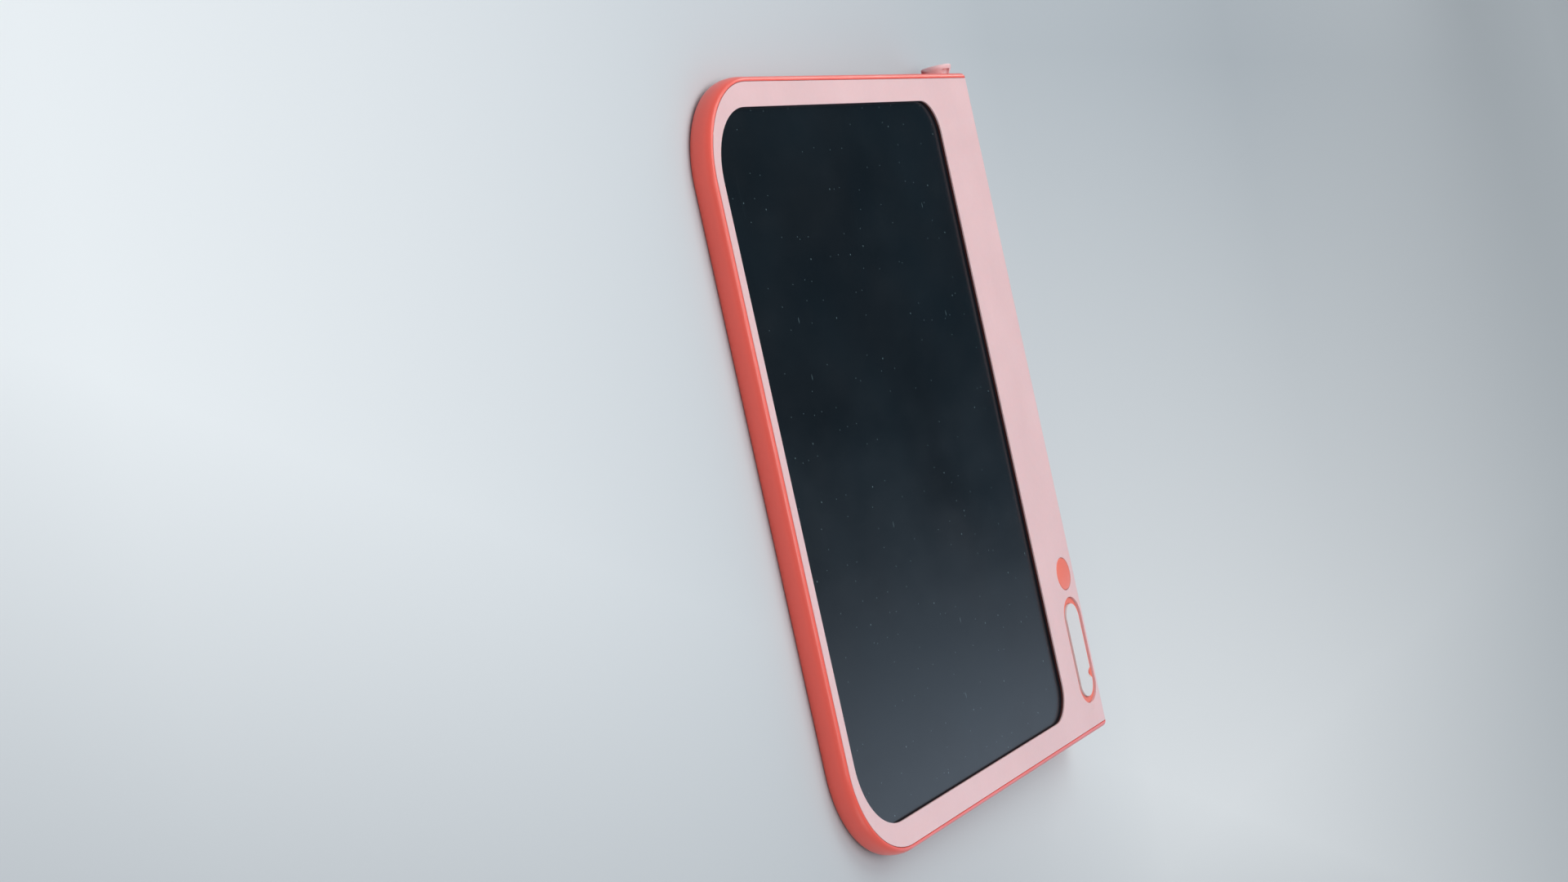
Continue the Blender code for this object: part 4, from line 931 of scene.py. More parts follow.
@dataclass(frozen=True)
class TabletSizes:
    """Sizes that several sub-assemblies share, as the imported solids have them."""

    length: float = 0.270
    depth: float = 0.2226
    thickness: float = 0.0087
    corner_radius: float = 0.0357
    bumper_wall: float = 0.0022
    stylus_end_band: float = 0.0088
    lock_end_band: float = 0.0093
    hand_band: float = 0.0044
    spine_band: float = 0.037
    opening_hand_radius: float = 0.025
    opening_spine_radius: float = 0.013
    spine_thickness: float = 0.0195
    spine_radius: float = 0.00975
    nose_radius: float = 0.004
    foot_radius: float = 0.004
    flank_angle: float = math.radians(70)
    wall: float = 0.0018
    parting: float = 0.0022
    gap: float = 0.0003
    seam: float = 0.00015
    overrun: float = 0.002
    control_margin: float = 0.013
    button_x: float = 0.0702
    button_radius: float = 0.0065
    button_flange: float = 0.0008
    button_flange_thickness: float = 0.0012
    plate_x: float = 0.1015
    well_length: float = 0.0432
    well_width: float = 0.0169
    screw_margin: float = 0.031
    screw_from_end: float = 0.0405
    tray_start: float = 0.0
    tray_face_length: float = 0.0205
    tray_face_height: float = 0.0064
    tray_face_thickness: float = 0.0020
    tray_bottom: float = 0.0014
    tray_end: float = 0.0274
    lock_x: float = 0.1128
    lock_height: float = 0.0019
    lock_slot_length: float = 0.0133
    lock_slot_width: float = 0.0060
    stylus_margin: float = 0.0094
    stylus_below_face: float = 0.0089
    sleeve_bore: float = 0.0043
    sleeve_wall: float = 0.0009
    sleeve_start: float = -0.1304
    sleeve_end: float = -0.0181
    tilt: float = 0.05117736
    place: Point = (0.0022, -0.0000091866, 0.0056014755)

    @property
    def end(self) -> float:
        """Half the length."""
        return self.length / 2

    @property
    def nose(self) -> float:
        """Half the depth."""
        return self.depth / 2

    @property
    def inset(self) -> float:
        """How far the shells stand in from the bumper's outside."""
        return self.bumper_wall + self.seam

    @property
    def spine_axis(self) -> Flat:
        """Y and Z of the spine's round."""
        return (self.nose - self.spine_radius,
                self.thickness - self.spine_thickness + self.spine_radius)

    @property
    def foot_y(self) -> float:
        """Where the hollow round between spine and back is centred.

        Returns:
            Its Y.
        """
        y, z = self.spine_axis
        normal_y, normal_z = -math.sin(self.flank_angle), -math.cos(self.flank_angle)
        drop = -self.foot_radius - z
        return y + (self.spine_radius + self.foot_radius - normal_z * drop) / normal_y

    @property
    def ceiling(self) -> float:
        """Underside of the face's wall."""
        return self.thickness - self.wall

    @property
    def control_y(self) -> float:
        """Line that the button and the name plate lie on."""
        return self.nose - self.control_margin

    @property
    def stylus_axis(self) -> Flat:
        """Y and Z of the stylus."""
        return self.nose - self.stylus_margin, self.thickness - self.stylus_below_face

    @property
    def opening(self) -> tuple[Flat, Flat]:
        """Corners of the screen opening.

        Returns:
            The low corner and the high one.
        """
        low = (-self.end + self.bumper_wall + self.stylus_end_band,
               -self.nose + self.bumper_wall + self.hand_band)
        high = (self.end - self.bumper_wall - self.lock_end_band, self.nose - self.spine_band)
        return low, high

    @property
    def screw_places(self) -> list[Flat]:
        """Middles of the four case screws.

        Returns:
            X and Y of each, from the stylus end.
        """
        last = self.end - self.screw_from_end
        y = self.nose - self.screw_margin
        return [(-last + 2 * last * i / 3, y) for i in range(4)]

    @property
    def at_rest(self) -> Matrix:
        """Placing of the tablet's own frame in the row frame."""
        return Matrix.Translation(self.place) @ Matrix.Rotation(self.tilt, 4, "X")

    def opening_slab(self, name: str, margin: float, base: float, top: float) -> Item:
        """Slab of the screen opening's outline grown by a margin.

        Args:
            name: Name of the object.
            margin: How far it is grown.
            base: Lowest Z.
            top: Highest Z.

        Returns:
            The solid slab.
        """
        (x0, y0), (x1, y1) = self.opening
        hand, spine = self.opening_hand_radius + margin, self.opening_spine_radius + margin
        return rounded_slab(name, (x0 - margin, y0 - margin), (x1 + margin, y1 + margin),
                            (hand, hand, spine, spine), base, top)

    def section(self, name: str, inset: float) -> Item:
        """Solid of the tablet's section across the spine, shrunk by an inset.

        Args:
            name: Name of the object.
            inset: How far the section is shrunk.

        Returns:
            The solid, longer than the tablet at both ends.
        """
        reach = self.end + self.overrun
        hand = -self.nose - self.overrun
        spine_y, spine_z = self.spine_axis
        foot = self.foot_radius + inset
        lean = QUARTER - self.flank_angle
        line = Outline(name, (-reach, hand, inset))
        line.run((-reach, hand, self.thickness - inset),
                 (-reach, self.nose - self.nose_radius, self.thickness - inset))
        line.arc((-reach, self.nose - self.nose_radius, self.thickness - self.nose_radius),
                 -QUARTER, X_AXIS, 12)
        line.run((-reach, self.nose - inset, spine_z))
        line.arc((-reach, spine_y, spine_z), -QUARTER - self.flank_angle, X_AXIS,
                 PLAIN_STEPS)
        line.run((-reach, self.foot_y + foot * math.cos(lean),
                  -self.foot_radius + foot * math.sin(lean)))
        line.arc((-reach, self.foot_y, -self.foot_radius), QUARTER - lean, X_AXIS, 14)
        line.run((-reach, hand, inset))
        return line.fill((2 * reach, 0, 0))

    def plan_slab(self, name: str, inset: float) -> Item:
        """Slab of the tablet's outline seen from its face, open past the nose.

        Args:
            name: Name of the object.
            inset: How far the outline is shrunk.

        Returns:
            The solid slab, thicker than the tablet.
        """
        radius = self.corner_radius - inset
        tall = self.spine_thickness + self.overrun
        return rounded_slab(name, (-self.end + inset, -self.nose + inset),
                            (self.end - inset, self.nose + self.overrun),
                            (radius, radius, 0, 0), -tall, tall, 30)

    def blank(self, name: str, plan_inset: float, section_inset: float) -> Item:
        """Solid tablet shrunk by one inset at its edges and another across its section."""
        return trim(self.section(name, section_inset), self.plan_slab("plan", plan_inset))

    def inner_limit(self) -> Item:
        """Solid that ends inside the shells' walls."""
        return self.blank("limit", self.inset + self.wall / 2, self.wall / 2)

    def stylus_way(self) -> Item:
        """Way of the stylus through the end walls."""
        return drum("stylus_way", self.sleeve_bore, -self.end - self.overrun,
                    self.sleeve_start + self.overrun, self.stylus_axis, "X", ROUND_STEPS)

    def tray_hole(self) -> Item:
        """Opening of the coin-cell tray through the nose.

        Returns:
            What is cut out of a shell.
        """
        half = self.tray_face_height / 2 + self.seam
        return box("tray_hole", (self.tray_start - self.seam, self.tray_end + self.seam),
                   (self.nose - self.wall - 2 * self.gap, self.nose + self.overrun),
                   (self.parting - half, self.parting + half))

    def nose_capsule(self, name: str, x: float, length: float, width: float, inner: float,
                     outer: float) -> Item:
        """Capsule on the nose at the lock's height, standing along Y.

        Args:
            name: Name of the object.
            x: Its middle along the spine.
            length: Size along the spine.
            width: Size across the nose.
            inner: Lowest Y.
            outer: Highest Y.

        Returns:
            The solid capsule.
        """
        item = capsule(name, (0, 0), length, width, -outer, -inner)
        make_active(item)
        item.matrix_world = (Matrix.Translation((x, 0, self.lock_height))
                             @ Matrix.Rotation(QUARTER, 4, "X"))
        bpy.ops.object.transform_apply(location=True, rotation=True, scale=True)
        return item

    def lock_hole(self) -> Item:
        """Opening of the lock slider through the nose.

        Returns:
            What is cut out of a shell.
        """
        return self.nose_capsule("lock_hole", self.lock_x, self.lock_slot_length,
                                 self.lock_slot_width, self.nose - self.wall - 2 * self.gap,
                                 self.nose + self.overrun)


@dataclass
class SubAssembly:
    """Pieces that are modelled together in the tablet's own frame."""

    sizes: TabletSizes
    wardrobe: Wardrobe

    def dress(self, item: Item, finish: Finish, carrier: Carrier, *nodes: str) -> None:
        """Lay a finished piece down, shade it, and give it its finish and its body.

        Args:
            item: Piece in the tablet's own frame.
            finish: Finish that it wears.
            carrier: Body that it rides on.
            *nodes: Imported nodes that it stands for.
        """
        make_active(item)
        item.matrix_world = self.sizes.at_rest
        bpy.ops.object.transform_apply(location=True, rotation=True, scale=True)
        item.data.materials.clear()
        item.data.materials.append(self.wardrobe.material(finish))
        bpy.ops.object.shade_smooth_by_angle(angle=SMOOTH_ANGLE)
        weigh = item.modifiers.new("Level", "WEIGHTED_NORMAL")
        weigh.keep_sharp = True
        bpy.ops.object.modifier_apply(modifier=weigh.name)
        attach(item, carrier.value)
        if nodes:
            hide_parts(*nodes)
        LOG.info("%s: %d faces on %s", item.name, len(item.data.polygons), carrier.value)


@dataclass
class Bumper(SubAssembly):
    """Soft moulding round the hand edge and both ends, with the spine's caps."""

    rim: float = 0.0020
    rim_height: float = 0.0040
    inner_rim: float = 0.0003

    def build(self) -> None:
        """Model and dress the bumper."""
        size = self.sizes
        bumper = size.blank("soft_bumper", 0, 0)
        round_edges(bumper, self.rim, anywhere, segments=8)
        self.fill_out(bumper)
        carve(clean(bumper), size.plan_slab("inside", size.bumper_wall))
        inner = size.end - size.bumper_wall
        round_edges(bumper, self.inner_rim, lambda a, b: self.on_inside(a) and self.on_inside(b)
                    and abs(a.x) < inner + HAIR, segments=2)
        carve(bumper, size.stylus_way())
        self.dress(bumper, CORAL_RUBBER, Carrier.TABLET, "bumper")

    def fill_out(self, bumper: Item) -> None:
        """Stretch both rims at the hand edge, so that the side is nearly half round.

        Args:
            bumper: Solid blank with its edges rounded.
        """
        size = self.sizes
        for rim in (size.thickness, 0.0):
            with editing(bumper):
                pick(bumper, Pick.VERTS, lambda co: co.y < 0
                     and abs(co.z - rim) < self.rim + HAIR)
                bpy.ops.transform.resize(value=(1, 1, self.rim_height / self.rim),
                                         center_override=(0, 0, rim))

    def on_inside(self, place: Vector) -> bool:
        """Whether a place is on the bumper's inner wall.

        Args:
            place: Place in the tablet's own frame.

        Returns:
            True where it is.
        """
        size = self.sizes
        wall = size.bumper_wall
        radius = size.corner_radius
        if place.y < -size.nose + radius and abs(place.x) > size.end - radius:
            spot = Vector((abs(place.x) - size.end + radius, place.y + size.nose - radius))
            return abs(spot.length - radius + wall) < HAIR * 3
        return (abs(abs(place.x) - size.end + wall) < HAIR
                or abs(place.y + size.nose - wall) < HAIR)


@dataclass
class FrontShell(SubAssembly):
    """Pink face with its window, its holes, and the bosses behind it."""

    screen_lip: float = 0.0006
    screen_overlap: float = 0.0016
    window_round: float = 0.00042
    edge_round: float = 0.0002
    button_travel: float = 0.0005
    guide_wall: float = 0.0008
    boss_radius: float = 0.0025
    pilot_radius: float = 0.0014
    boss_low: float = 0.0045
    pilot_top: float = 0.0068
    dimple_x: float = 0.1238
    dimple_radius: float = 0.0028
    dimple_depth: float = 0.00032

    def build(self) -> None:
        """Model and dress the front shell."""
        size = self.sizes
        shell = size.blank("face_shell", size.inset, 0)
        carve(shell, size.blank("hollow", size.inset + size.wall, size.wall))
        reach = size.end + size.overrun
        carve(shell, box("below", (-reach, reach), (-reach, reach),
                         (-size.spine_thickness - size.overrun, size.parting + size.seam / 2)))
        button = (size.button_x, size.control_y)
        bore = size.button_radius + size.button_flange + size.gap
        low = (size.ceiling - size.button_flange_thickness - self.button_travel
               - 2 * self.guide_wall)
        fuse(shell, drum("guide", bore + self.guide_wall, low, size.ceiling + size.wall / 2,
                         button, steps=ROUND_STEPS))
        for place in size.screw_places:
            fuse(shell, drum("boss", self.boss_radius, self.boss_low,
                             size.ceiling + size.wall / 2, place))
        for place in size.screw_places:
            carve(shell, drum("pilot", self.pilot_radius, self.boss_low - size.overrun,
                              self.pilot_top, place))
        top = size.thickness + size.overrun
        under = size.ceiling - size.overrun
        carve(
            shell,
            size.opening_slab("rebate", self.screen_overlap + size.gap, under,
                              size.thickness - self.screen_lip),
            size.opening_slab("window", 0, under, top),
            drum("guide_bore", bore, low - size.overrun, size.ceiling, button, steps=ROUND_STEPS),
            drum("button_hole", size.button_radius + size.seam, under, top, button,
                 steps=ROUND_STEPS),
            capsule("well_hole", (size.plate_x, size.control_y), size.well_length + 2 * size.seam,
                    size.well_width + 2 * size.seam, under, top),
            size.stylus_way(),
            size.tray_hole(),
            size.lock_hole(),
        )
        self.soften(shell)
        self.press_dimple(shell)
        self.dress(shell, PINK_MATT, Carrier.TABLET, "front_shell")

    def press_dimple(self, shell: Item) -> None:
        """Press the shallow dimple at the lock end of the name plate.

        Args:
            shell: Front shell.
        """
        size = self.sizes
        depth = self.dimple_depth
        ball = (self.dimple_radius ** 2 + depth ** 2) / (2 * depth)
        top = size.thickness
        arc = math.asin(self.dimple_radius / ball)
        dent = Outline("dimple", (self.dimple_x, size.control_y, top - depth))
        dent.arc((self.dimple_x, size.control_y, top - depth + ball), -arc, Y_AXIS, 6)
        dent.run((self.dimple_x + self.dimple_radius, size.control_y, top + depth),
                 (self.dimple_x, size.control_y, top + depth))
        carve(shell, dent.turn((self.dimple_x, size.control_y, top), Z_AXIS, 40))

    def soften(self, shell: Item) -> None:
        """Round the window's edge, and break the other edges that show.

        Args:
            shell: Front shell with all its holes.
        """
        size = self.sizes
        (x0, y0), (x1, y1) = size.opening
        face = size.thickness

        def in_window(place: Vector) -> bool:
            """Whether a place is on the window's edge."""
            return (x0 - HAIR < place.x < x1 + HAIR and y0 - HAIR < place.y < y1 + HAIR
                    and abs(place.z - face) < HAIR)

        def on_rim(place: Vector) -> bool:
            """Whether a place is on the face or at the shell's outside."""
            outer = abs(place.x) > size.end - size.inset - HAIR
            return place.z > size.parting + size.gap and (outer or abs(place.z - face) < HAIR)

        round_edges(shell, self.window_round, lambda a, b: in_window(a) and in_window(b), 4)
        round_edges(shell, self.edge_round,
                    lambda a, b: on_rim(a) and on_rim(b) and not (in_window(a) or in_window(b)), 2)


@dataclass
class BackShell(SubAssembly):
    """Glossy back and spine, with what stands inside it, and the inset panel."""

    edge_round: float = 0.0002
    rib_width: float = 0.0012
    rib_top: float = 0.0040
    ribs_along: int = 3
    ribs_across: int = 4
    post_radius: float = 0.0034
    post_top: float = 0.0040
    screw_well: float = 0.0023
    screw_way: float = 0.0014
    screw_ledge: float = 0.0026
    pocket_top: float = 0.0011
    panel_thickness: float = 0.0008
    panel_end_margin: float = 0.027
    panel_nose_margin: float = 0.027
    panel_hand_margin: float = 0.016
    panel_spine_corner: float = 0.0015
    panel_hand_corner: float = 0.020
    panel_round: float = 0.00018
    pip_inset: float = 0.0032
    pip_profile: tuple[Flat, ...] = ((0.0004, -0.0003), (0.00062, -0.00022), (0.0008, 0.0),
                                     (0.0008, 0.0004), (0.0, 0.0004))
    board_start: float = 0.0352
    board_end: float = 0.1292
    board_inner: float = 0.0937
    board_bottom: float = -0.0011
    board_post_radius: float = 0.0022
    board_post_along: float = 0.0065
    board_post_across: float = 0.004
    board_pilot_radius: float = 0.0010
    board_pilot_depth: float = 0.0045
    cradle_places: Flat = (0.14, 0.76)
    cradle_width: float = 0.0016
    guide_places: Flat = (0.0024, 0.0193)
    guide_depth: float = 0.007

    def build(self) -> None:
        """Model and dress the back shell and its panel."""
        size = self.sizes
        shell = size.blank("spine_shell", size.inset, 0)
        carve(shell, size.blank("hollow", size.inset + size.wall, size.wall))
        reach = size.end + size.overrun
        top = size.parting - size.seam / 2
        carve(shell, box("above", (-reach, reach), (-reach, reach),
                         (top, size.thickness + size.overrun)))
        self.add_ribs(shell)
        self.add_posts(shell)
        self.add_cradles(shell, top)
        carve(shell, self.panel_slab("pocket", size.gap, -size.overrun, self.pocket_top))
        for place in size.screw_places:
            carve(shell, drum("well", self.screw_well, -size.overrun, self.screw_ledge, place),
                  drum("way", self.screw_way, -size.overrun, self.post_top + size.overrun, place))
        carve(shell, size.stylus_way(), size.tray_hole(), size.lock_hole())
        outer = size.end - size.inset
        round_edges(shell, self.edge_round, lambda a, b: min(abs(a.x), abs(b.x)) > outer - HAIR
                    and max(a.z, b.z) < size.parting - size.gap, 2)
        round_edges(shell, self.edge_round, lambda a, b: abs(a.z) < HAIR and abs(b.z) < HAIR
                    and max(abs(a.x), abs(b.x)) < outer - size.wall, 2)
        self.dress(shell, PINK_GLOSS, Carrier.TABLET, "back_shell")
        self.build_panel()

    def panel_slab(self, name: str, margin: float, base: float, top: float) -> Item:
        """Slab of the back panel's outline grown by a margin.

        Args:
            name: Name of the object.
            margin: How far it is grown.
            base: Lowest Z.
            top: Highest Z.

        Returns:
            The solid slab.
        """
        size = self.sizes
        end = size.end - self.panel_end_margin + margin
        hand, spine = self.panel_hand_corner + margin, self.panel_spine_corner + margin
        return rounded_slab(name, (-end, -size.nose + self.panel_hand_margin - margin),
                            (end, size.nose - self.panel_nose_margin + margin),
                            (hand, hand, spine, spine), base, top)

    def add_ribs(self, shell: Item) -> None:
        """Join the ribs that carry the screen's backing plate.

        Args:
            shell: Back shell.
        """
        (x0, y0), (x1, y1) = self.sizes.opening
        half = self.rib_width / 2
        z = (self.sizes.wall / 2, self.rib_top)
        for i in range(1, self.ribs_along + 1):
            y = y0 + (y1 - y0) * i / (self.ribs_along + 1)
            fuse(shell, box("rib", (x0, x1), (y - half, y + half), z))
        for i in range(1, self.ribs_across + 1):
            x = x0 + (x1 - x0) * i / (self.ribs_across + 1)
            fuse(shell, box("rib", (x - half, x + half), (y0, y1), z))

    def add_posts(self, shell: Item) -> None:
        """Join the posts of the case screws and of the board.

        Args:
            shell: Back shell.
        """
        size = self.sizes
        for place in size.screw_places:
            fuse(shell, drum("post", self.post_radius, size.wall / 2, self.post_top, place))
        y = self.board_inner + self.board_post_across
        for x in (self.board_start + self.board_post_along,
                  self.board_end - self.board_post_along):
            post = drum("board_post", self.board_post_radius, -size.spine_thickness,
                        self.board_bottom - size.gap, (x, y))
            fuse(shell, trim(post, size.inner_limit()))
            carve(shell, drum("pilot", self.board_pilot_radius,
                              self.board_bottom - self.board_pilot_depth, size.parting, (x, y)))

    def add_cradles(self, shell: Item, top: float) -> None:
        """Join the cradles of the stylus sleeve and the guides of the coin-cell tray.

        Args:
            shell: Back shell.
            top: Height of the shell's edge.
        """
        size = self.sizes
        y, z = size.stylus_axis
        saddle = size.sleeve_bore + size.sleeve_wall + size.gap
        low = -size.spine_thickness
        span = size.sleeve_end - size.sleeve_start
        half = self.cradle_width / 2
        for share in self.cradle_places:
            x = size.sleeve_start + span * share
            wide = (x - size.overrun, x + size.overrun)
            cradle = box("cradle", (x - half, x + half),
                         (size.nose - 2 * size.spine_radius, size.nose), (low, top))
            trim(cradle, size.inner_limit())
            carve(cradle, drum("saddle", saddle, *wide, (y, z), "X"),
                  box("mouth", wide, (y - saddle, y + saddle), (z, top + size.overrun)))
            fuse(shell, cradle)
        inner = size.nose - size.wall - 4 * size.gap
        for x in self.guide_places:
            guide = box("guide", (x, x + self.rib_width), (inner - self.guide_depth, inner),
                        (low, size.tray_bottom - size.gap))
            fuse(shell, trim(guide, size.inner_limit()))

    def build_panel(self) -> None:
        """Model and dress the inset panel with its moulding pip."""
        size = self.sizes
        panel = self.panel_slab("back_cover", 0, 0, self.panel_thickness)
        round_edges(panel, self.panel_round, at_height(0.0), 3)
        x = -size.end + self.panel_end_margin + self.pip_inset
        y = size.nose - self.panel_nose_margin - self.pip_inset
        pip = Outline("pip", (x, y, self.pip_profile[0][1]))
        pip.run(*((x + out, y, z) for out, z in self.pip_profile))
        fuse(panel, pip.turn((x, y, 0), Z_AXIS, 24))
        self.dress(panel, PINK_GLOSS, Carrier.TABLET, "back_panel")


@dataclass
class EraseButton(SubAssembly):
    """Round button, flush with the face."""

    dome: float = 0.0004
    dome_edge: float = 0.28
    dome_steps: int = 5
    rim: float = 0.0005
    stem_radius: float = 0.0018
    stem_low: float = 0.0046

    def build(self) -> None:
        """Model and dress the button."""
        size = self.sizes
        x, y = size.button_x, size.control_y
        top = size.thickness + self.dome
        flange_top = size.ceiling - size.gap
        flange_low = flange_top - size.button_flange_thickness
        edge = size.thickness + self.dome * self.dome_edge
        button = Outline("erase_cap", (x, y, top))
        flat = size.button_radius - self.rim
        for step in range(1, self.dome_steps + 1):
            share = step / self.dome_steps
            button.run((x + flat * share, y, top - (top - edge) * share ** 2))
        button.arc((x + flat, y, edge - self.rim), QUARTER, Y_AXIS, 6)
        wide = size.button_radius + size.button_flange
        button.run((x + size.button_radius, y, flange_top), (x + wide, y, flange_top),
                   (x + wide, y, flange_low), (x + self.stem_radius, y, flange_low),
                   (x + self.stem_radius, y, self.stem_low), (x, y, self.stem_low))
        self.dress(button.turn((x, y, 0), Z_AXIS), CORAL_PLASTIC, Carrier.BUTTON, "erase_button")


@dataclass
class NamePlate(SubAssembly):
    """Capsule tray in the face, and the white plate that lifts out of it."""

    length: float = 0.038
    width: float = 0.0123
    thickness: float = 0.0010
    drop: float = 0.0001
    edge_round: float = 0.00016
    well_depth: float = 0.0008
    well_round: float = 0.00025
    floor: float = 0.0010
    flange: float = 0.0008
    scoop_from_end: float = 0.0085
    scoop_radius: float = 0.0030
    scoop_depth: float = 0.0009
    scoop_reach: float = 0.0050
    notch_radius: float = 0.0017
    notch_depth: float = 0.0009

    def build(self) -> None:
        """Model and dress the tray and the plate."""
        size = self.sizes
        centre = (size.plate_x, size.control_y)
        top = size.thickness - self.well_depth
        pocket = size.thickness - self.drop - self.thickness - size.gap
        low = pocket - self.floor
        tray = capsule("name_well", centre, size.well_length, size.well_width, low, top)
        fuse(tray, capsule("flange", centre, size.well_length + 2 * self.flange,
                           size.well_width + 2 * self.flange, low - size.gap,
                           size.ceiling - size.gap))
        carve(tray, capsule("pocket", centre, self.length + 2 * size.seam,
                            self.width + 2 * size.seam, pocket, size.thickness))
        round_edges(tray, self.well_round, at_height(top), 3)
        self.dress(tray, CORAL_PLASTIC, Carrier.TABLET, "name_plate_tray")
        self.build_plate(centre, pocket + size.gap)

    def build_plate(self, centre: Flat, low: float) -> None:
        """Model and dress the lift-out plate with its nail scoop.

        Args:
            centre: Middle of the plate.
            low: Height of its underside.
        """
        size = self.sizes
        top = size.thickness - self.drop
        plate = capsule("name_tab", centre, self.length, self.width, low, top)
        x = centre[0] + self.length / 2 - self.scoop_from_end
        edge = centre[1] + self.width / 2
        carve(plate, drum("notch", self.notch_radius, low - size.overrun, top + size.overrun,
                          (x, edge + self.notch_radius - self.notch_depth)))
        round_edges(plate, self.edge_round, at_height(top), 2)
        slope = math.atan(self.scoop_depth / self.scoop_reach)
        scoop = drum("scoop", self.scoop_radius, -self.width, self.width, (0, 0), "Y",
                     FINE_STEPS)
        scoop.matrix_world = (Matrix.Translation((x, edge, top - self.scoop_depth))
                              @ Matrix.Rotation(-slope, 4, "X")
                              @ Matrix.Translation((0, 0, self.scoop_radius)))
        bpy.ops.object.transform_apply(location=True, rotation=True, scale=True)
        carve(plate, scoop)
        self.dress(plate, WHITE_PLASTIC, Carrier.NAME_PLATE, "name_plate")


@dataclass
class LockSlider(SubAssembly):
    """Slider in the nose, with its two ribs and the fork behind it."""

    cap_length: float = 0.0094
    cap_round: float = 0.00022
    base_thickness: float = 0.0008
    base_margin: float = 0.0042
    base_flank: float = 0.0007
    rib_height: float = 0.0004
    rib_width: float = 0.0008
    rib_corner: float = 0.0008 / 2.2
    rib_spacing: float = 0.0026
    fork_reach: float = 0.0012
    lever: float = 0.0014

    def build(self) -> None:
        """Model and dress the slider."""
        size = self.sizes
        travel = size.lock_slot_length - self.cap_length - 2 * size.gap
        x, z = size.lock_x + travel / 2, size.lock_height
        width = size.lock_slot_width - 2 * size.gap
        outer = size.nose - size.wall - size.gap
        inner = outer - self.base_thickness
        middle = (outer + inner) / 2
        slider = size.nose_capsule("lock_cap", x, self.cap_length, width, middle, size.nose)
        round_edges(slider, self.cap_round, lambda a, b: min(a.y, b.y) > size.nose - HAIR, 3)
        for side in (-1, 1):
            at = x + side * self.rib_spacing / 2
            rib = rounded_slab("rib", (at - self.rib_width / 2, size.nose - self.rib_height),
                               (at + self.rib_width / 2, size.nose + self.rib_height),
                               (0, 0, self.rib_corner, self.rib_corner),
                               z - width / 4, z + width / 4, 5)
            fuse(slider, rib)
        reach = self.cap_length / 2 + self.base_margin
        half = size.lock_slot_width / 2
        fuse(slider, box("base", (x - reach, x + reach), (inner, outer),
                         (z - half - self.base_flank, z + half + self.base_flank / 2)))
        for side in (-1, 1):
            near = self.lever / 2 + size.gap
            prong = sorted((x + side * near, x + side * (near + self.lever)))
            fuse(slider, box("prong", prong, (inner - self.fork_reach, middle),
                             (z - self.lever / 2, z + self.lever / 2)))
        self.dress(slider, PINK_MATT, Carrier.LOCK, "lock_slider")


@dataclass
class PadlockSigns(SubAssembly):
    """Small raised padlocks beside the lock's slot, one closed and one open."""

    from_slot: float = 0.0036
    below_slot: float = 0.0006
    height: float = 0.00016
    root: float = 0.0001
    edge_round: float = 0.00005
    body_half: Flat = (0.00125, 0.00085)
    body_corner: float = 0.0003
    bow_radius: float = 0.00075
    bow_thickness: float = 0.00030
    bow_foot: float = 0.0005
    bow_shoulder: float = 0.0014
    open_foot: float = 0.0009
    open_shift: float = 0.0011

    def build(self) -> None:
        """Model and dress both signs."""
        size = self.sizes
        apart = size.lock_slot_length / 2 + self.from_slot
        self.build_sign("closed_padlock_sign", size.lock_x - apart, 0.0, self.bow_foot)
        self.build_sign("open_padlock_sign", size.lock_x + apart, self.open_shift, self.open_foot)

    def build_sign(self, name: str, x: float, shift: float, foot: float) -> None:
        """Model and dress a padlock whose bow may stand beside its body.

        Args:
            name: Name of the piece.
            x: Its middle along the spine.
            shift: How far the bow is moved to the side.
            foot: Height at which the bow's far leg ends.
        """
        size = self.sizes
        low, high = size.nose - self.root, size.nose + self.height
        half_x, half_y = self.body_half
        outer, inner = self.bow_radius, self.bow_radius - self.bow_thickness
        shoulder = self.bow_shoulder
        body = rounded_slab(name, (-half_x, -half_y), self.body_half, (self.body_corner,) * 4,
                            low, high, 4)
        bow = Outline("bow", (shift - outer, self.bow_foot, low))
        bow.run((shift - outer, shoulder, low)).arc((shift, shoulder, low), -math.pi, Z_AXIS, 12)
        bow.run((shift + outer, foot, low), (shift + inner, foot, low),
                (shift + inner, shoulder, low)).arc((shift, shoulder, low), math.pi, Z_AXIS, 12)
        bow.run((shift - inner, self.bow_foot, low), (shift - outer, self.bow_foot, low))
        fuse(body, bow.fill((0, 0, high - low)))
        make_active(body)
        body.matrix_world = Matrix(((-1, 0, 0, x), (0, 0, 1, 0),
                                    (0, 1, 0, size.lock_height - self.below_slot), (0, 0, 0, 1)))
        bpy.ops.object.transform_apply(location=True, rotation=True, scale=True)
        round_edges(body, self.edge_round, lambda a, b: min(a.y, b.y) > high - HAIR, 1)
        self.dress(body, PINK_MATT, Carrier.TABLET)


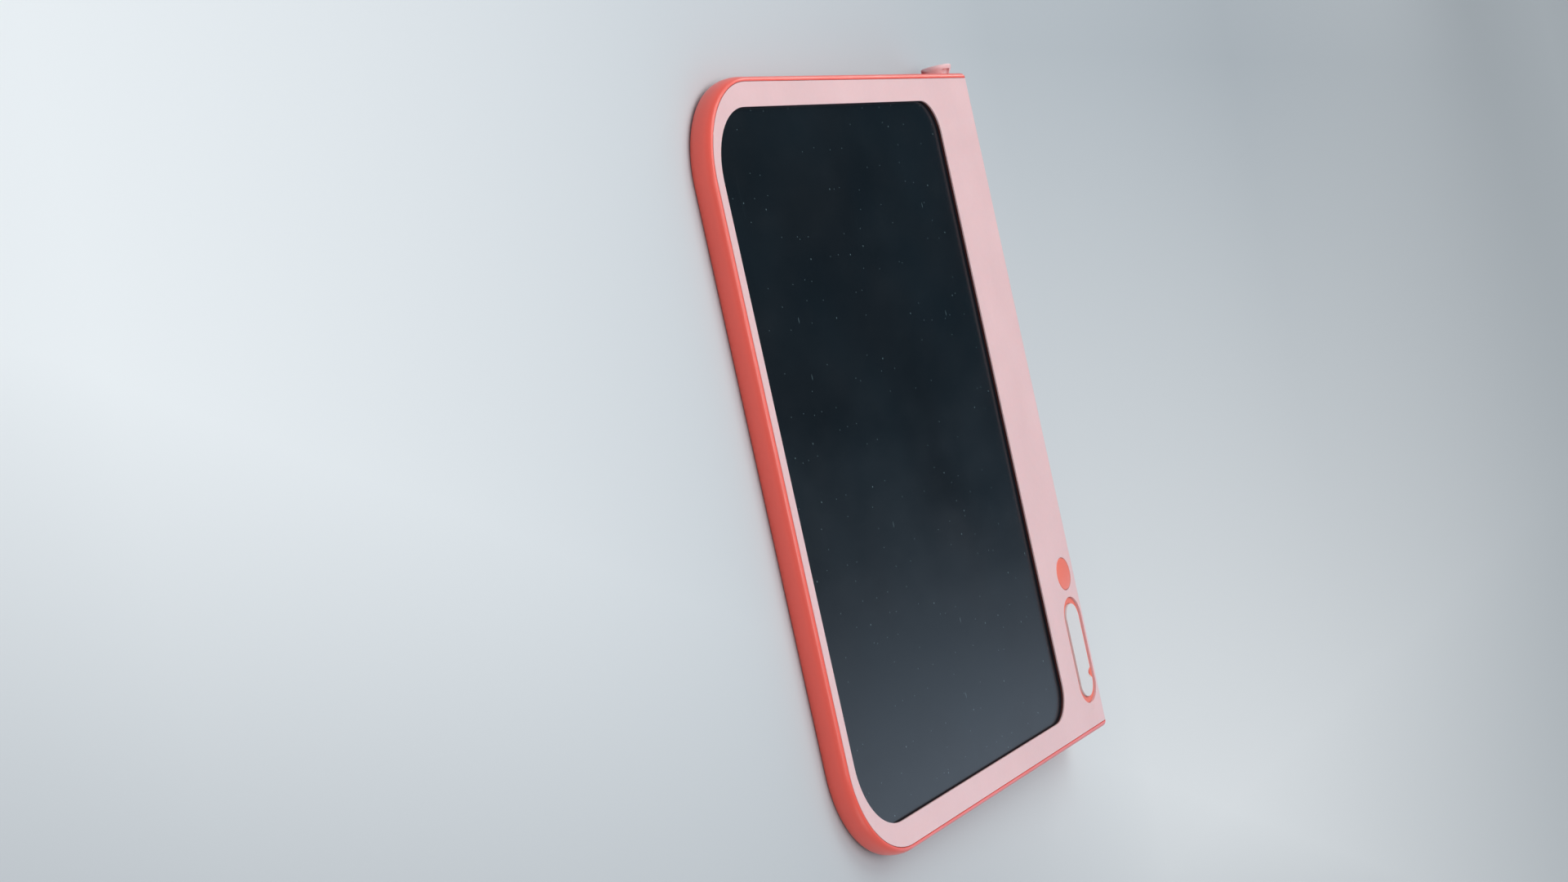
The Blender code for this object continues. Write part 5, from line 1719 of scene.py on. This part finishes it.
@dataclass
class BatteryTray(SubAssembly):
    """Tray in the nose with its latch and its coin cell."""

    wall: float = 0.0008
    cell_radius: float = 0.010
    cell_gap: float = 0.0002
    cell_bottom: float = 0.0022
    cell_top: float = 0.0047
    can_round: float = 0.0004
    can_foot: float = 0.0007
    crimp_round: float = 0.0003
    groove_depth: float = 0.0006
    groove_top: float = 0.0004
    cap_round: Flat = (0.0008, 0.0002)
    plus_from_middle: float = 0.004
    plus_half: Flat = (0.0022, 0.0004)
    plus_depth: float = 0.00012
    side_reach: float = 0.006
    holder_corner: float = 0.0006
    way_width: float = 0.0070
    latch_length: float = 0.0057
    latch_travel: float = 0.0008
    arm_width: float = 0.0010
    arm_height: float = 0.0030
    arm_length: float = 0.015
    scoop_radius: float = 0.0042
    scoop_depth: float = 0.0007
    edge_round: float = 0.0002
    edge_reach: float = 0.0006

    @property
    def cell_x(self) -> float:
        """Middle of the coin cell along the spine."""
        return self.sizes.tray_start + self.sizes.gap + self.wall + self.cell_gap + self.cell_radius

    @property
    def cell_y(self) -> float:
        """Middle of the coin cell across the spine.

        Returns:
            Its Y.
        """
        size = self.sizes
        return (size.nose - size.tray_face_thickness - self.wall - self.cell_gap
                - self.cell_radius - size.gap)

    def build(self) -> None:
        """Model and dress the tray, the latch and the cell."""
        self.build_tray()
        self.build_latch()
        self.build_cell()

    def nose_block(self, name: str, start: float, end: float) -> Item:
        """Block that fills a length of the tray's opening, flush with the nose.

        Args:
            name: Name of the object.
            start: Lowest X.
            end: Highest X.

        Returns:
            The block with its outer edges rounded.
        """
        size = self.sizes
        half = size.tray_face_height / 2
        face = box(name, (start, end), (size.nose - size.tray_face_thickness,
                                        size.nose + size.overrun),
                   (size.parting - half, size.parting + half))
        trim(face, size.blank("nose", size.inset, 0))
        round_edges(face, self.edge_round,
                    lambda a, b: min(a.y, b.y) > size.nose - self.edge_reach, 3)
        return face

    def build_tray(self) -> None:
        """Model and dress the tray."""
        size = self.sizes
        face = self.nose_block("cell_tray", size.tray_start,
                               size.tray_start + size.tray_face_length)
        pocket = self.cell_radius + self.cell_gap
        side = pocket + self.wall
        rear = self.cell_y - self.side_reach
        behind = size.nose - size.tray_face_thickness - size.gap
        fuse(
            face,
            box("neck", (size.tray_start + self.wall,
                         size.tray_start + size.tray_face_length - size.gap),
                (behind - size.gap, size.nose - size.tray_face_thickness / 2),
                (size.tray_bottom + size.gap, self.cell_top - size.gap)),
            rounded_slab("holder", (self.cell_x - side, rear), (self.cell_x + side, behind),
                         (self.holder_corner, self.holder_corner, 0, 0), size.tray_bottom,
                         self.cell_top, 5),
        )
        way = self.way_width / 2
        carve(
            face,
            drum("pocket", pocket, self.cell_bottom - self.cell_gap, self.cell_top + size.overrun,
                 (self.cell_x, self.cell_y), steps=FINE_STEPS),
            box("contact_way", (self.cell_x - way, self.cell_x + way),
                (rear - size.overrun, self.cell_y + way),
                (size.tray_bottom - size.overrun, (self.cell_bottom + self.cell_top) / 2)),
        )
        self.dress(face, PINK_MATT, Carrier.TRAY, "battery_tray")

    def build_latch(self) -> None:
        """Model and dress the sprung latch with its finger scoop and its ridge."""
        size = self.sizes
        start = size.tray_end - self.latch_length
        middle = (start + size.tray_end) / 2
        half = size.tray_face_height / 2
        latch = self.nose_block("latch_finger", start, size.tray_end)
        carve(latch, drum("scoop", self.scoop_radius, size.parting - half - size.overrun,
                          size.parting + half + size.overrun,
                          (middle, size.nose + self.scoop_radius - self.scoop_depth),
                          steps=FINE_STEPS))
        arm_x = (self.cell_x + self.cell_radius + self.cell_gap + self.wall + self.latch_travel
                 + size.gap)
        back = size.nose - size.tray_face_thickness
        arm_z = (self.cell_bottom + self.cell_top) / 2
        fuse(latch, box("arm", (arm_x, arm_x + self.arm_width),
                        (back - self.arm_length, back + 2 * size.gap),
                        (arm_z - self.arm_height / 2, arm_z + self.arm_height / 2)))
        self.dress(latch, PINK_MATT, Carrier.LATCH, "tray_latch")

    def build_cell(self) -> None:
        """Model and dress the coin cell: rolled rim, gasket groove and a plus sign."""
        x, y = self.cell_x, self.cell_y
        top, low = self.cell_top, self.cell_bottom
        edge = x + self.cell_radius
        groove = edge - self.groove_depth
        cap_edge, cap_rise = self.cap_round
        cell = Outline("button_cell", (x, y, top))
        cell.run((edge - self.can_round, y, top))
        cell.arc((edge - self.can_round, y, top - self.can_round), QUARTER, Y_AXIS, 5)
        cell.run((edge, y, low + self.can_foot))
        cell.arc((edge - self.crimp_round, y, low + self.can_foot), QUARTER, Y_AXIS, 4)
        cell.run((groove, y, low + self.groove_top), (groove, y, low + cap_rise),
                 (edge - cap_edge, y, low), (x, y, low))
        body = cell.turn((x, y, 0), Z_AXIS, FINE_STEPS)
        middle = x - self.plus_from_middle
        for long, wide in (self.plus_half, self.plus_half[::-1]):
            carve(body, box("sign", (middle - long, middle + long), (y - wide, y + wide),
                            (top - self.plus_depth, top + self.sizes.overrun)))
        self.dress(body, NICKEL, Carrier.TRAY, "coin_cell")


@dataclass
class Stylus(SubAssembly):
    """Stylus kept in the spine: flared head, plain barrel and a small tip."""

    radius: float = 0.0040
    taper: float = 0.012
    taper_steps: int = 4
    taper_bend: float = 1.4
    nose_radius: float = 0.0020
    tip_radius: float = 0.0009
    tip_length: float = 0.004
    head_radius: float = 0.0061
    foot_radius: float = 0.0046
    head_height: float = 0.0041
    rim_height: float = 0.0013
    rim_blend: tuple[Flat, ...] = ((0.0004, 0.0002), (-0.0001, 0.0))
    top_round: float = 0.00055
    dish: tuple[Flat, ...] = ((0.0001, 0.0016), (0.00025, 0.0030))
    notch_height: float = 0.0022
    notch_depth: float = 0.0026
    notch_width: float = 0.0042
    notch_corner: float = 0.0012
    notch_turn: float = math.radians(20)

    def build(self) -> None:
        """Model and dress the head, the barrel and the tip."""
        size = self.sizes
        y, z = size.stylus_axis
        base = -size.end - size.gap
        tip_end = size.sleeve_end - size.sleeve_wall - size.gap
        barrel_end = tip_end - self.tip_length
        start = base + size.gap
        barrel = Outline("pen_barrel", (start, y, z))
        barrel.run((start, y, z + self.radius), (barrel_end - self.taper, y, z + self.radius))
        for step in range(1, self.taper_steps + 1):
            share = step / self.taper_steps
            drop = (self.radius - self.nose_radius) * share ** self.taper_bend
            barrel.run((barrel_end - self.taper * (1 - share), y, z + self.radius - drop))
        barrel.run((barrel_end, y, z))
        self.dress(barrel.turn((0, y, z), X_AXIS), PINK_MATT, Carrier.STYLUS, "stylus_barrel")
        tip = Outline("pen_tip", (barrel_end + size.gap, y, z))
        tip.run((barrel_end + size.gap, y, z + self.nose_radius),
                (tip_end - self.tip_radius, y, z + self.tip_radius))
        tip.arc((tip_end - self.tip_radius, y, z), QUARTER, Y_AXIS, 6)
        self.dress(tip.turn((0, y, z), X_AXIS, 40), BLACK_PLASTIC, Carrier.STYLUS, "stylus_tip")
        self.build_head(base, y, z)

    def build_head(self, base: float, y: float, z: float) -> None:
        """Model and dress the flared head with its nail notch.

        Args:
            base: X of the head's foot.
            y: Y of the stylus.
            z: Z of the stylus.
        """
        top = base - self.head_height
        rim = top + self.rim_height
        edge = z + self.head_radius
        head = Outline("pen_head", (base, y, z))
        head.run((base, y, z + self.foot_radius),
                 *((rim + back, y, edge - drop) for back, drop in self.rim_blend))
        head.run((top + self.top_round, y, edge))
        head.arc((top + self.top_round, y, edge - self.top_round), -QUARTER, Y_AXIS, 6)
        head.run(*((top + sunk, y, edge - drop) for sunk, drop in self.dish))
        head.run((top + self.dish[-1][0], y, z))
        body = head.turn((0, y, z), X_AXIS, FINE_STEPS)
        half = self.notch_width / 2
        past = self.sizes.overrun
        notch = rounded_slab("notch", (y - half, edge - self.notch_depth),
                             (y + half, edge + past), (self.notch_corner, self.notch_corner, 0, 0),
                             base - self.notch_height, base + past, 8)
        make_active(notch)
        stand = Matrix(((0, 0, 1, 0), (1, 0, 0, 0), (0, 1, 0, 0), (0, 0, 0, 1)))
        axis = Matrix.Translation((0, y, z))
        notch.matrix_world = (axis @ Matrix.Rotation(self.notch_turn, 4, "X") @ axis.inverted()
                              @ stand)
        bpy.ops.object.transform_apply(location=True, rotation=True, scale=True)
        carve(body, notch)
        self.dress(body, PINK_HEAD, Carrier.STYLUS, "stylus_head")


@dataclass
class Screws(SubAssembly):
    """Case screws and board screws: domed heads, cross drives and cut threads.

    The fields that end in share or shares are parts of the head's radius and height or of the
    shank's radius and length. In a turn of the thread the second number is a part of the pitch.
    """

    head_shares: tuple[Flat, ...] = ((0.6, 0.0), (0.88, 0.14), (1.0, 0.42), (1.0, 1.0))
    drive_shares: Flat = (0.4, 0.1)
    drive_depth_share: float = 0.5
    core_share: float = 0.8
    thread_share: float = 0.86
    thread_turns: int = 7
    sides: int = 32
    turn_shares: tuple[Flat, ...] = ((0.8, 0.3), (1.0, 0.65), (0.8, 1.0))
    point_shares: Flat = (0.5, 0.97)
    head_radius: float = 0.0020
    head_height: float = 0.0012
    shank_radius: float = 0.0011
    shank_length: float = 0.0042
    case_head: float = 0.0011
    board_head_radius: float = 0.0014
    board_head_height: float = 0.0008
    board_shank_radius: float = 0.0007
    board_shank_length: float = 0.0045
    board_top: float = 0.0001
    board_y: float = 0.0977
    board_screw_x: Flat = (0.0417, 0.1227)

    def build(self) -> None:
        """Model one screw of each kind, copy it, and dress the copies."""
        size = self.sizes
        case = self.screw(self.head_radius, self.head_height, self.shank_radius, self.shank_length)
        for number, (x, y) in enumerate(size.screw_places, 1):
            self.copy_to(case, f"case_fastener_{number}", f"case_screw_{number}",
                         Matrix.Translation((x, y, self.case_head)))
        bpy.data.objects.remove(case)
        board = self.screw(self.board_head_radius, self.board_head_height,
                           self.board_shank_radius, self.board_shank_length)
        over = Matrix.Rotation(math.pi, 4, "X")
        top = self.board_top + size.gap + self.board_head_height
        for number, x in enumerate(self.board_screw_x, 1):
            self.copy_to(board, f"board_fastener_{number}", f"board_screw_{number}",
                         Matrix.Translation((x, self.board_y, top)) @ over)
        bpy.data.objects.remove(board)

    def screw(self, head: float, tall: float, shank: float, long: float) -> Item:
        """Screw that stands on its head at the origin.

        Args:
            head: Radius of the head.
            tall: Height of the head.
            shank: Radius over the thread.
            long: Length of the shank.

        Returns:
            The screw.
        """
        line = Outline("screw", (0, 0, 0))
        line.run(*((head * out, 0, tall * up) for out, up in self.head_shares),
                 (shank * self.core_share, 0, tall))
        pitch = long * self.thread_share / self.thread_turns
        for turn in range(self.thread_turns):
            line.run(*((shank * out, 0, tall + pitch * (turn + up))
                       for out, up in self.turn_shares))
        out, up = self.point_shares
        line.run((shank * out, 0, tall + long * up), (0, 0, tall + long))
        screw = line.turn((0, 0, 0), Z_AXIS, self.sides)
        deep = tall * self.drive_depth_share
        for wide, narrow in (self.drive_shares, self.drive_shares[::-1]):
            carve(screw, box("drive", (-head * wide, head * wide),
                             (-head * narrow, head * narrow), (-tall, deep)))
        return screw

    def copy_to(self, screw: Item, name: str, node: str, place: Matrix) -> None:
        """Copy a screw with its own mesh to a place and dress it.

        Args:
            screw: Screw at the origin.
            name: Name of the copy.
            node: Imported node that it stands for.
            place: Placing in the tablet's own frame.
        """
        make_active(screw)
        bpy.ops.object.duplicate()
        item = bpy.context.object
        item.name = name
        item.matrix_world = place
        bpy.ops.object.transform_apply(location=True, rotation=True, scale=True)
        self.dress(item, BRIGHT_STEEL, Carrier.TABLET, node)


@dataclass
class CarriedNodes(SubAssembly):
    """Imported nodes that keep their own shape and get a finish."""

    nodes: dict[str, Item]

    def build(self) -> None:
        """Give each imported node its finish."""
        finishes = {
            "screen_panel": SCREEN, "screen_backer": WHITE_PLASTIC, "screen_gasket": BLACK_FOAM,
            "erase_switch_body": BLACK_PLASTIC, "erase_switch_plunger": CORAL_PLASTIC,
            "lock_switch_body": BRIGHT_STEEL, "lock_switch_lever": BLACK_PLASTIC,
            "contact_plus": NICKEL, "contact_minus": NICKEL, "circuit_board": BOARD,
            "driver_chip": BLACK_PLASTIC, "display_cable": RIBBON, "stylus_sleeve": WHITE_PLASTIC,
        }
        for name, finish in finishes.items():
            node = self.nodes[name]
            for slot in node.material_slots:
                slot.material = self.wardrobe.material(finish)
            LOG.info("%s: packed node in %s", name, finish.name)


# Studio


@dataclass(frozen=True)
class AreaLamp:
    """Soft lamp that points at a target."""

    name: str
    place: Point
    size: float
    power: float
    target: Point = (0.0, 0.0, 0.0)
    colour: Colour = (1.0, 0.98, 0.96)

    def build(self) -> None:
        """Hang the lamp."""
        data = bpy.data.lights.new(self.name, "AREA")
        data.shape = "SQUARE"
        data.size = self.size
        data.energy = self.power
        data.color = self.colour
        lamp = bpy.data.objects.new(self.name, data)
        bpy.context.scene.collection.objects.link(lamp)
        lamp.location = self.place
        aim = Vector(self.target) - Vector(self.place)
        lamp.rotation_euler = aim.to_track_quat("-Z", "Y").to_euler()


LAMPS = (
    AreaLamp("key", place=(-0.62, 0.2, 0.8), size=0.7, power=4.1, colour=(1.0, 0.985, 0.965)),
    AreaLamp("top", place=(-0.15, -0.22, 1.25), size=0.6, power=3.5, colour=(1.0, 0.99, 0.98)),
    AreaLamp("front", place=(0.05, -0.9, 1.06), size=0.35, power=3.0),
    AreaLamp("side", place=(1.0, -0.5, 0.45), size=0.5, power=0.8, target=(0.1, 0.0, 0.0)),
    AreaLamp("rim", place=(-0.7, 1.1, 0.3), size=0.4, power=1.3, target=(-0.1, 0.0, 0.0)),
)


@dataclass
class Studio:
    """Pale floor with painted shade and painted light on it, soft light, and the camera at the
    photograph's angle.
    """

    sizes: TabletSizes
    floor_size: float = 14.0
    # The floor's pale tones are its own. The darker colours are painted shade and painted shadow,
    # and the far colour is painted light that makes up for the lamps falling off.
    front_light: Colour = (0.815, 0.850, 0.875)
    front_painted_shade: Colour = (0.575, 0.615, 0.650)
    back_painted_shade: Colour = (0.445, 0.485, 0.520)
    back_light: Colour = (0.810, 0.835, 0.855)
    far_painted_light: Colour = (0.840, 0.870, 0.890)
    corner_painted_shade: Colour = (0.460, 0.490, 0.520)
    front_shade_y: Flat = (-0.41, -0.10)
    back_shade_x: Flat = (-0.15, 0.22)
    behind_y: Flat = (-0.10, 0.20)
    far_light_y: Flat = (0.6, 1.9)
    corner_shade_run: Flat = (0.10, 0.26)
    corner_shade_slope: float = 0.4
    floor_roughness: float = 0.9
    floor_specular: float = 0.1
    room_colour: Colour = (0.38, 0.405, 0.42)
    card_dark: Colour = (0.015, 0.025, 0.035)
    card_bright: Colour = (0.98, 1.16, 1.42)
    card_x: Flat = (0.085, 0.215)
    card_y: Flat = (0.62, 0.82)
    card_edge_x: Flat = (-0.35, -0.2)
    sensor: float = 36.0
    lens: float = 57.516
    nearest: float = 0.01
    camera_place: Point = (-0.0388, -0.8253, 0.4096)
    forward: Point = (0.0325622, 0.8737701, -0.4852479)
    down: Point = (0.9756970, -0.1330505, -0.1741062)

    def build(self) -> None:
        """Set the stage."""
        self.build_camera()
        self.build_floor()
        self.build_world()
        for lamp in LAMPS:
            lamp.build()
        bpy.context.scene.view_settings.view_transform = "Standard"

    def build_camera(self) -> None:
        """Place the camera as it stood to the tablet in the photograph."""
        data = bpy.data.cameras.new("photo_camera")
        data.sensor_width = self.sensor
        data.lens = self.lens
        data.clip_start = self.nearest
        camera = bpy.data.objects.new("photo_camera", data)
        bpy.context.scene.collection.objects.link(camera)
        back, up = -Vector(self.forward), -Vector(self.down)
        right = up.cross(back)
        turn = Matrix((right, up, back)).transposed().to_4x4()
        camera.matrix_world = self.sizes.at_rest @ Matrix.Translation(self.camera_place) @ turn
        bpy.context.scene.camera = camera

    def build_floor(self) -> None:
        """Lay the pale floor, with three darker patches of painted shade and a brighter far band of
        painted light.

        The shade patches are close in front of the tablet, behind its stylus end, and out past its
        lock end.
        """
        deselect_all()
        bpy.ops.mesh.primitive_plane_add(size=self.floor_size, location=(0, 0, 0))
        floor = bpy.context.object
        floor.name = "studio_floor"
        sheet = MaterialSheet("studio_floor")
        along, away, _up = sheet.add("ShaderNodeSeparateXYZ", {"Vector": sheet.place}).outputs
        # Painted shade: the floor darkens close in front of the tablet, behind its stylus end and
        # past its lock end. Painted light brightens it far behind.
        front = sheet.mix(sheet.fit(away, *self.front_shade_y), self.front_light, self.front_painted_shade)
        back = sheet.mix(sheet.fit(along, *self.back_shade_x), self.back_painted_shade, self.back_light)
        back = sheet.mix(sheet.fit(away, *self.far_light_y), back, self.far_painted_light)
        colour = sheet.mix(sheet.fit(away, *self.behind_y), front, back)
        corner = sheet.sums("SUBTRACT", along, sheet.sums("MULTIPLY", away, self.corner_shade_slope))
        colour = sheet.mix(sheet.fit(corner, *self.corner_shade_run), colour, self.corner_painted_shade)
        floor.data.materials.append(sheet.finish(Base_Color=colour,
                                                 Roughness=self.floor_roughness,
                                                 Specular_IOR_Level=self.floor_specular))

    def build_world(self) -> None:
        """Fill the room with soft light, and stand a card behind, dark at the stylus end."""
        world = bpy.data.worlds.new("studio_room")
        bpy.context.scene.world = world
        world.use_nodes = True
        sheet = NodeSheet(world.node_tree, "Generated")
        across, away, _up = sheet.add("ShaderNodeSeparateXYZ", {"Vector": sheet.place}).outputs
        card = sheet.mix(sheet.fit(across, *self.card_x), self.card_dark, self.card_bright)
        share = sheet.sums("MULTIPLY", sheet.fit(away, *self.card_y),
                           sheet.fit(across, *self.card_edge_x))
        colour = sheet.mix(share, self.room_colour, card)
        sheet.feed(world.node_tree.nodes["Background"], "Color", colour)


def main() -> None:
    """Build every sub-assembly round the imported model, then the studio."""
    logging.basicConfig(level=logging.INFO, format="%(name)s: %(message)s")
    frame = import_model()
    sizes = TabletSizes()
    wardrobe = Wardrobe()
    for assembly in (Bumper, FrontShell, BackShell, EraseButton, NamePlate, LockSlider,
                     PadlockSigns, BatteryTray, Stylus, Screws):
        assembly(sizes, wardrobe).build()
    CarriedNodes(sizes, wardrobe, nodes=frame["nodes"]).build()
    Studio(sizes).build()


if __name__ == "__main__":
    main()
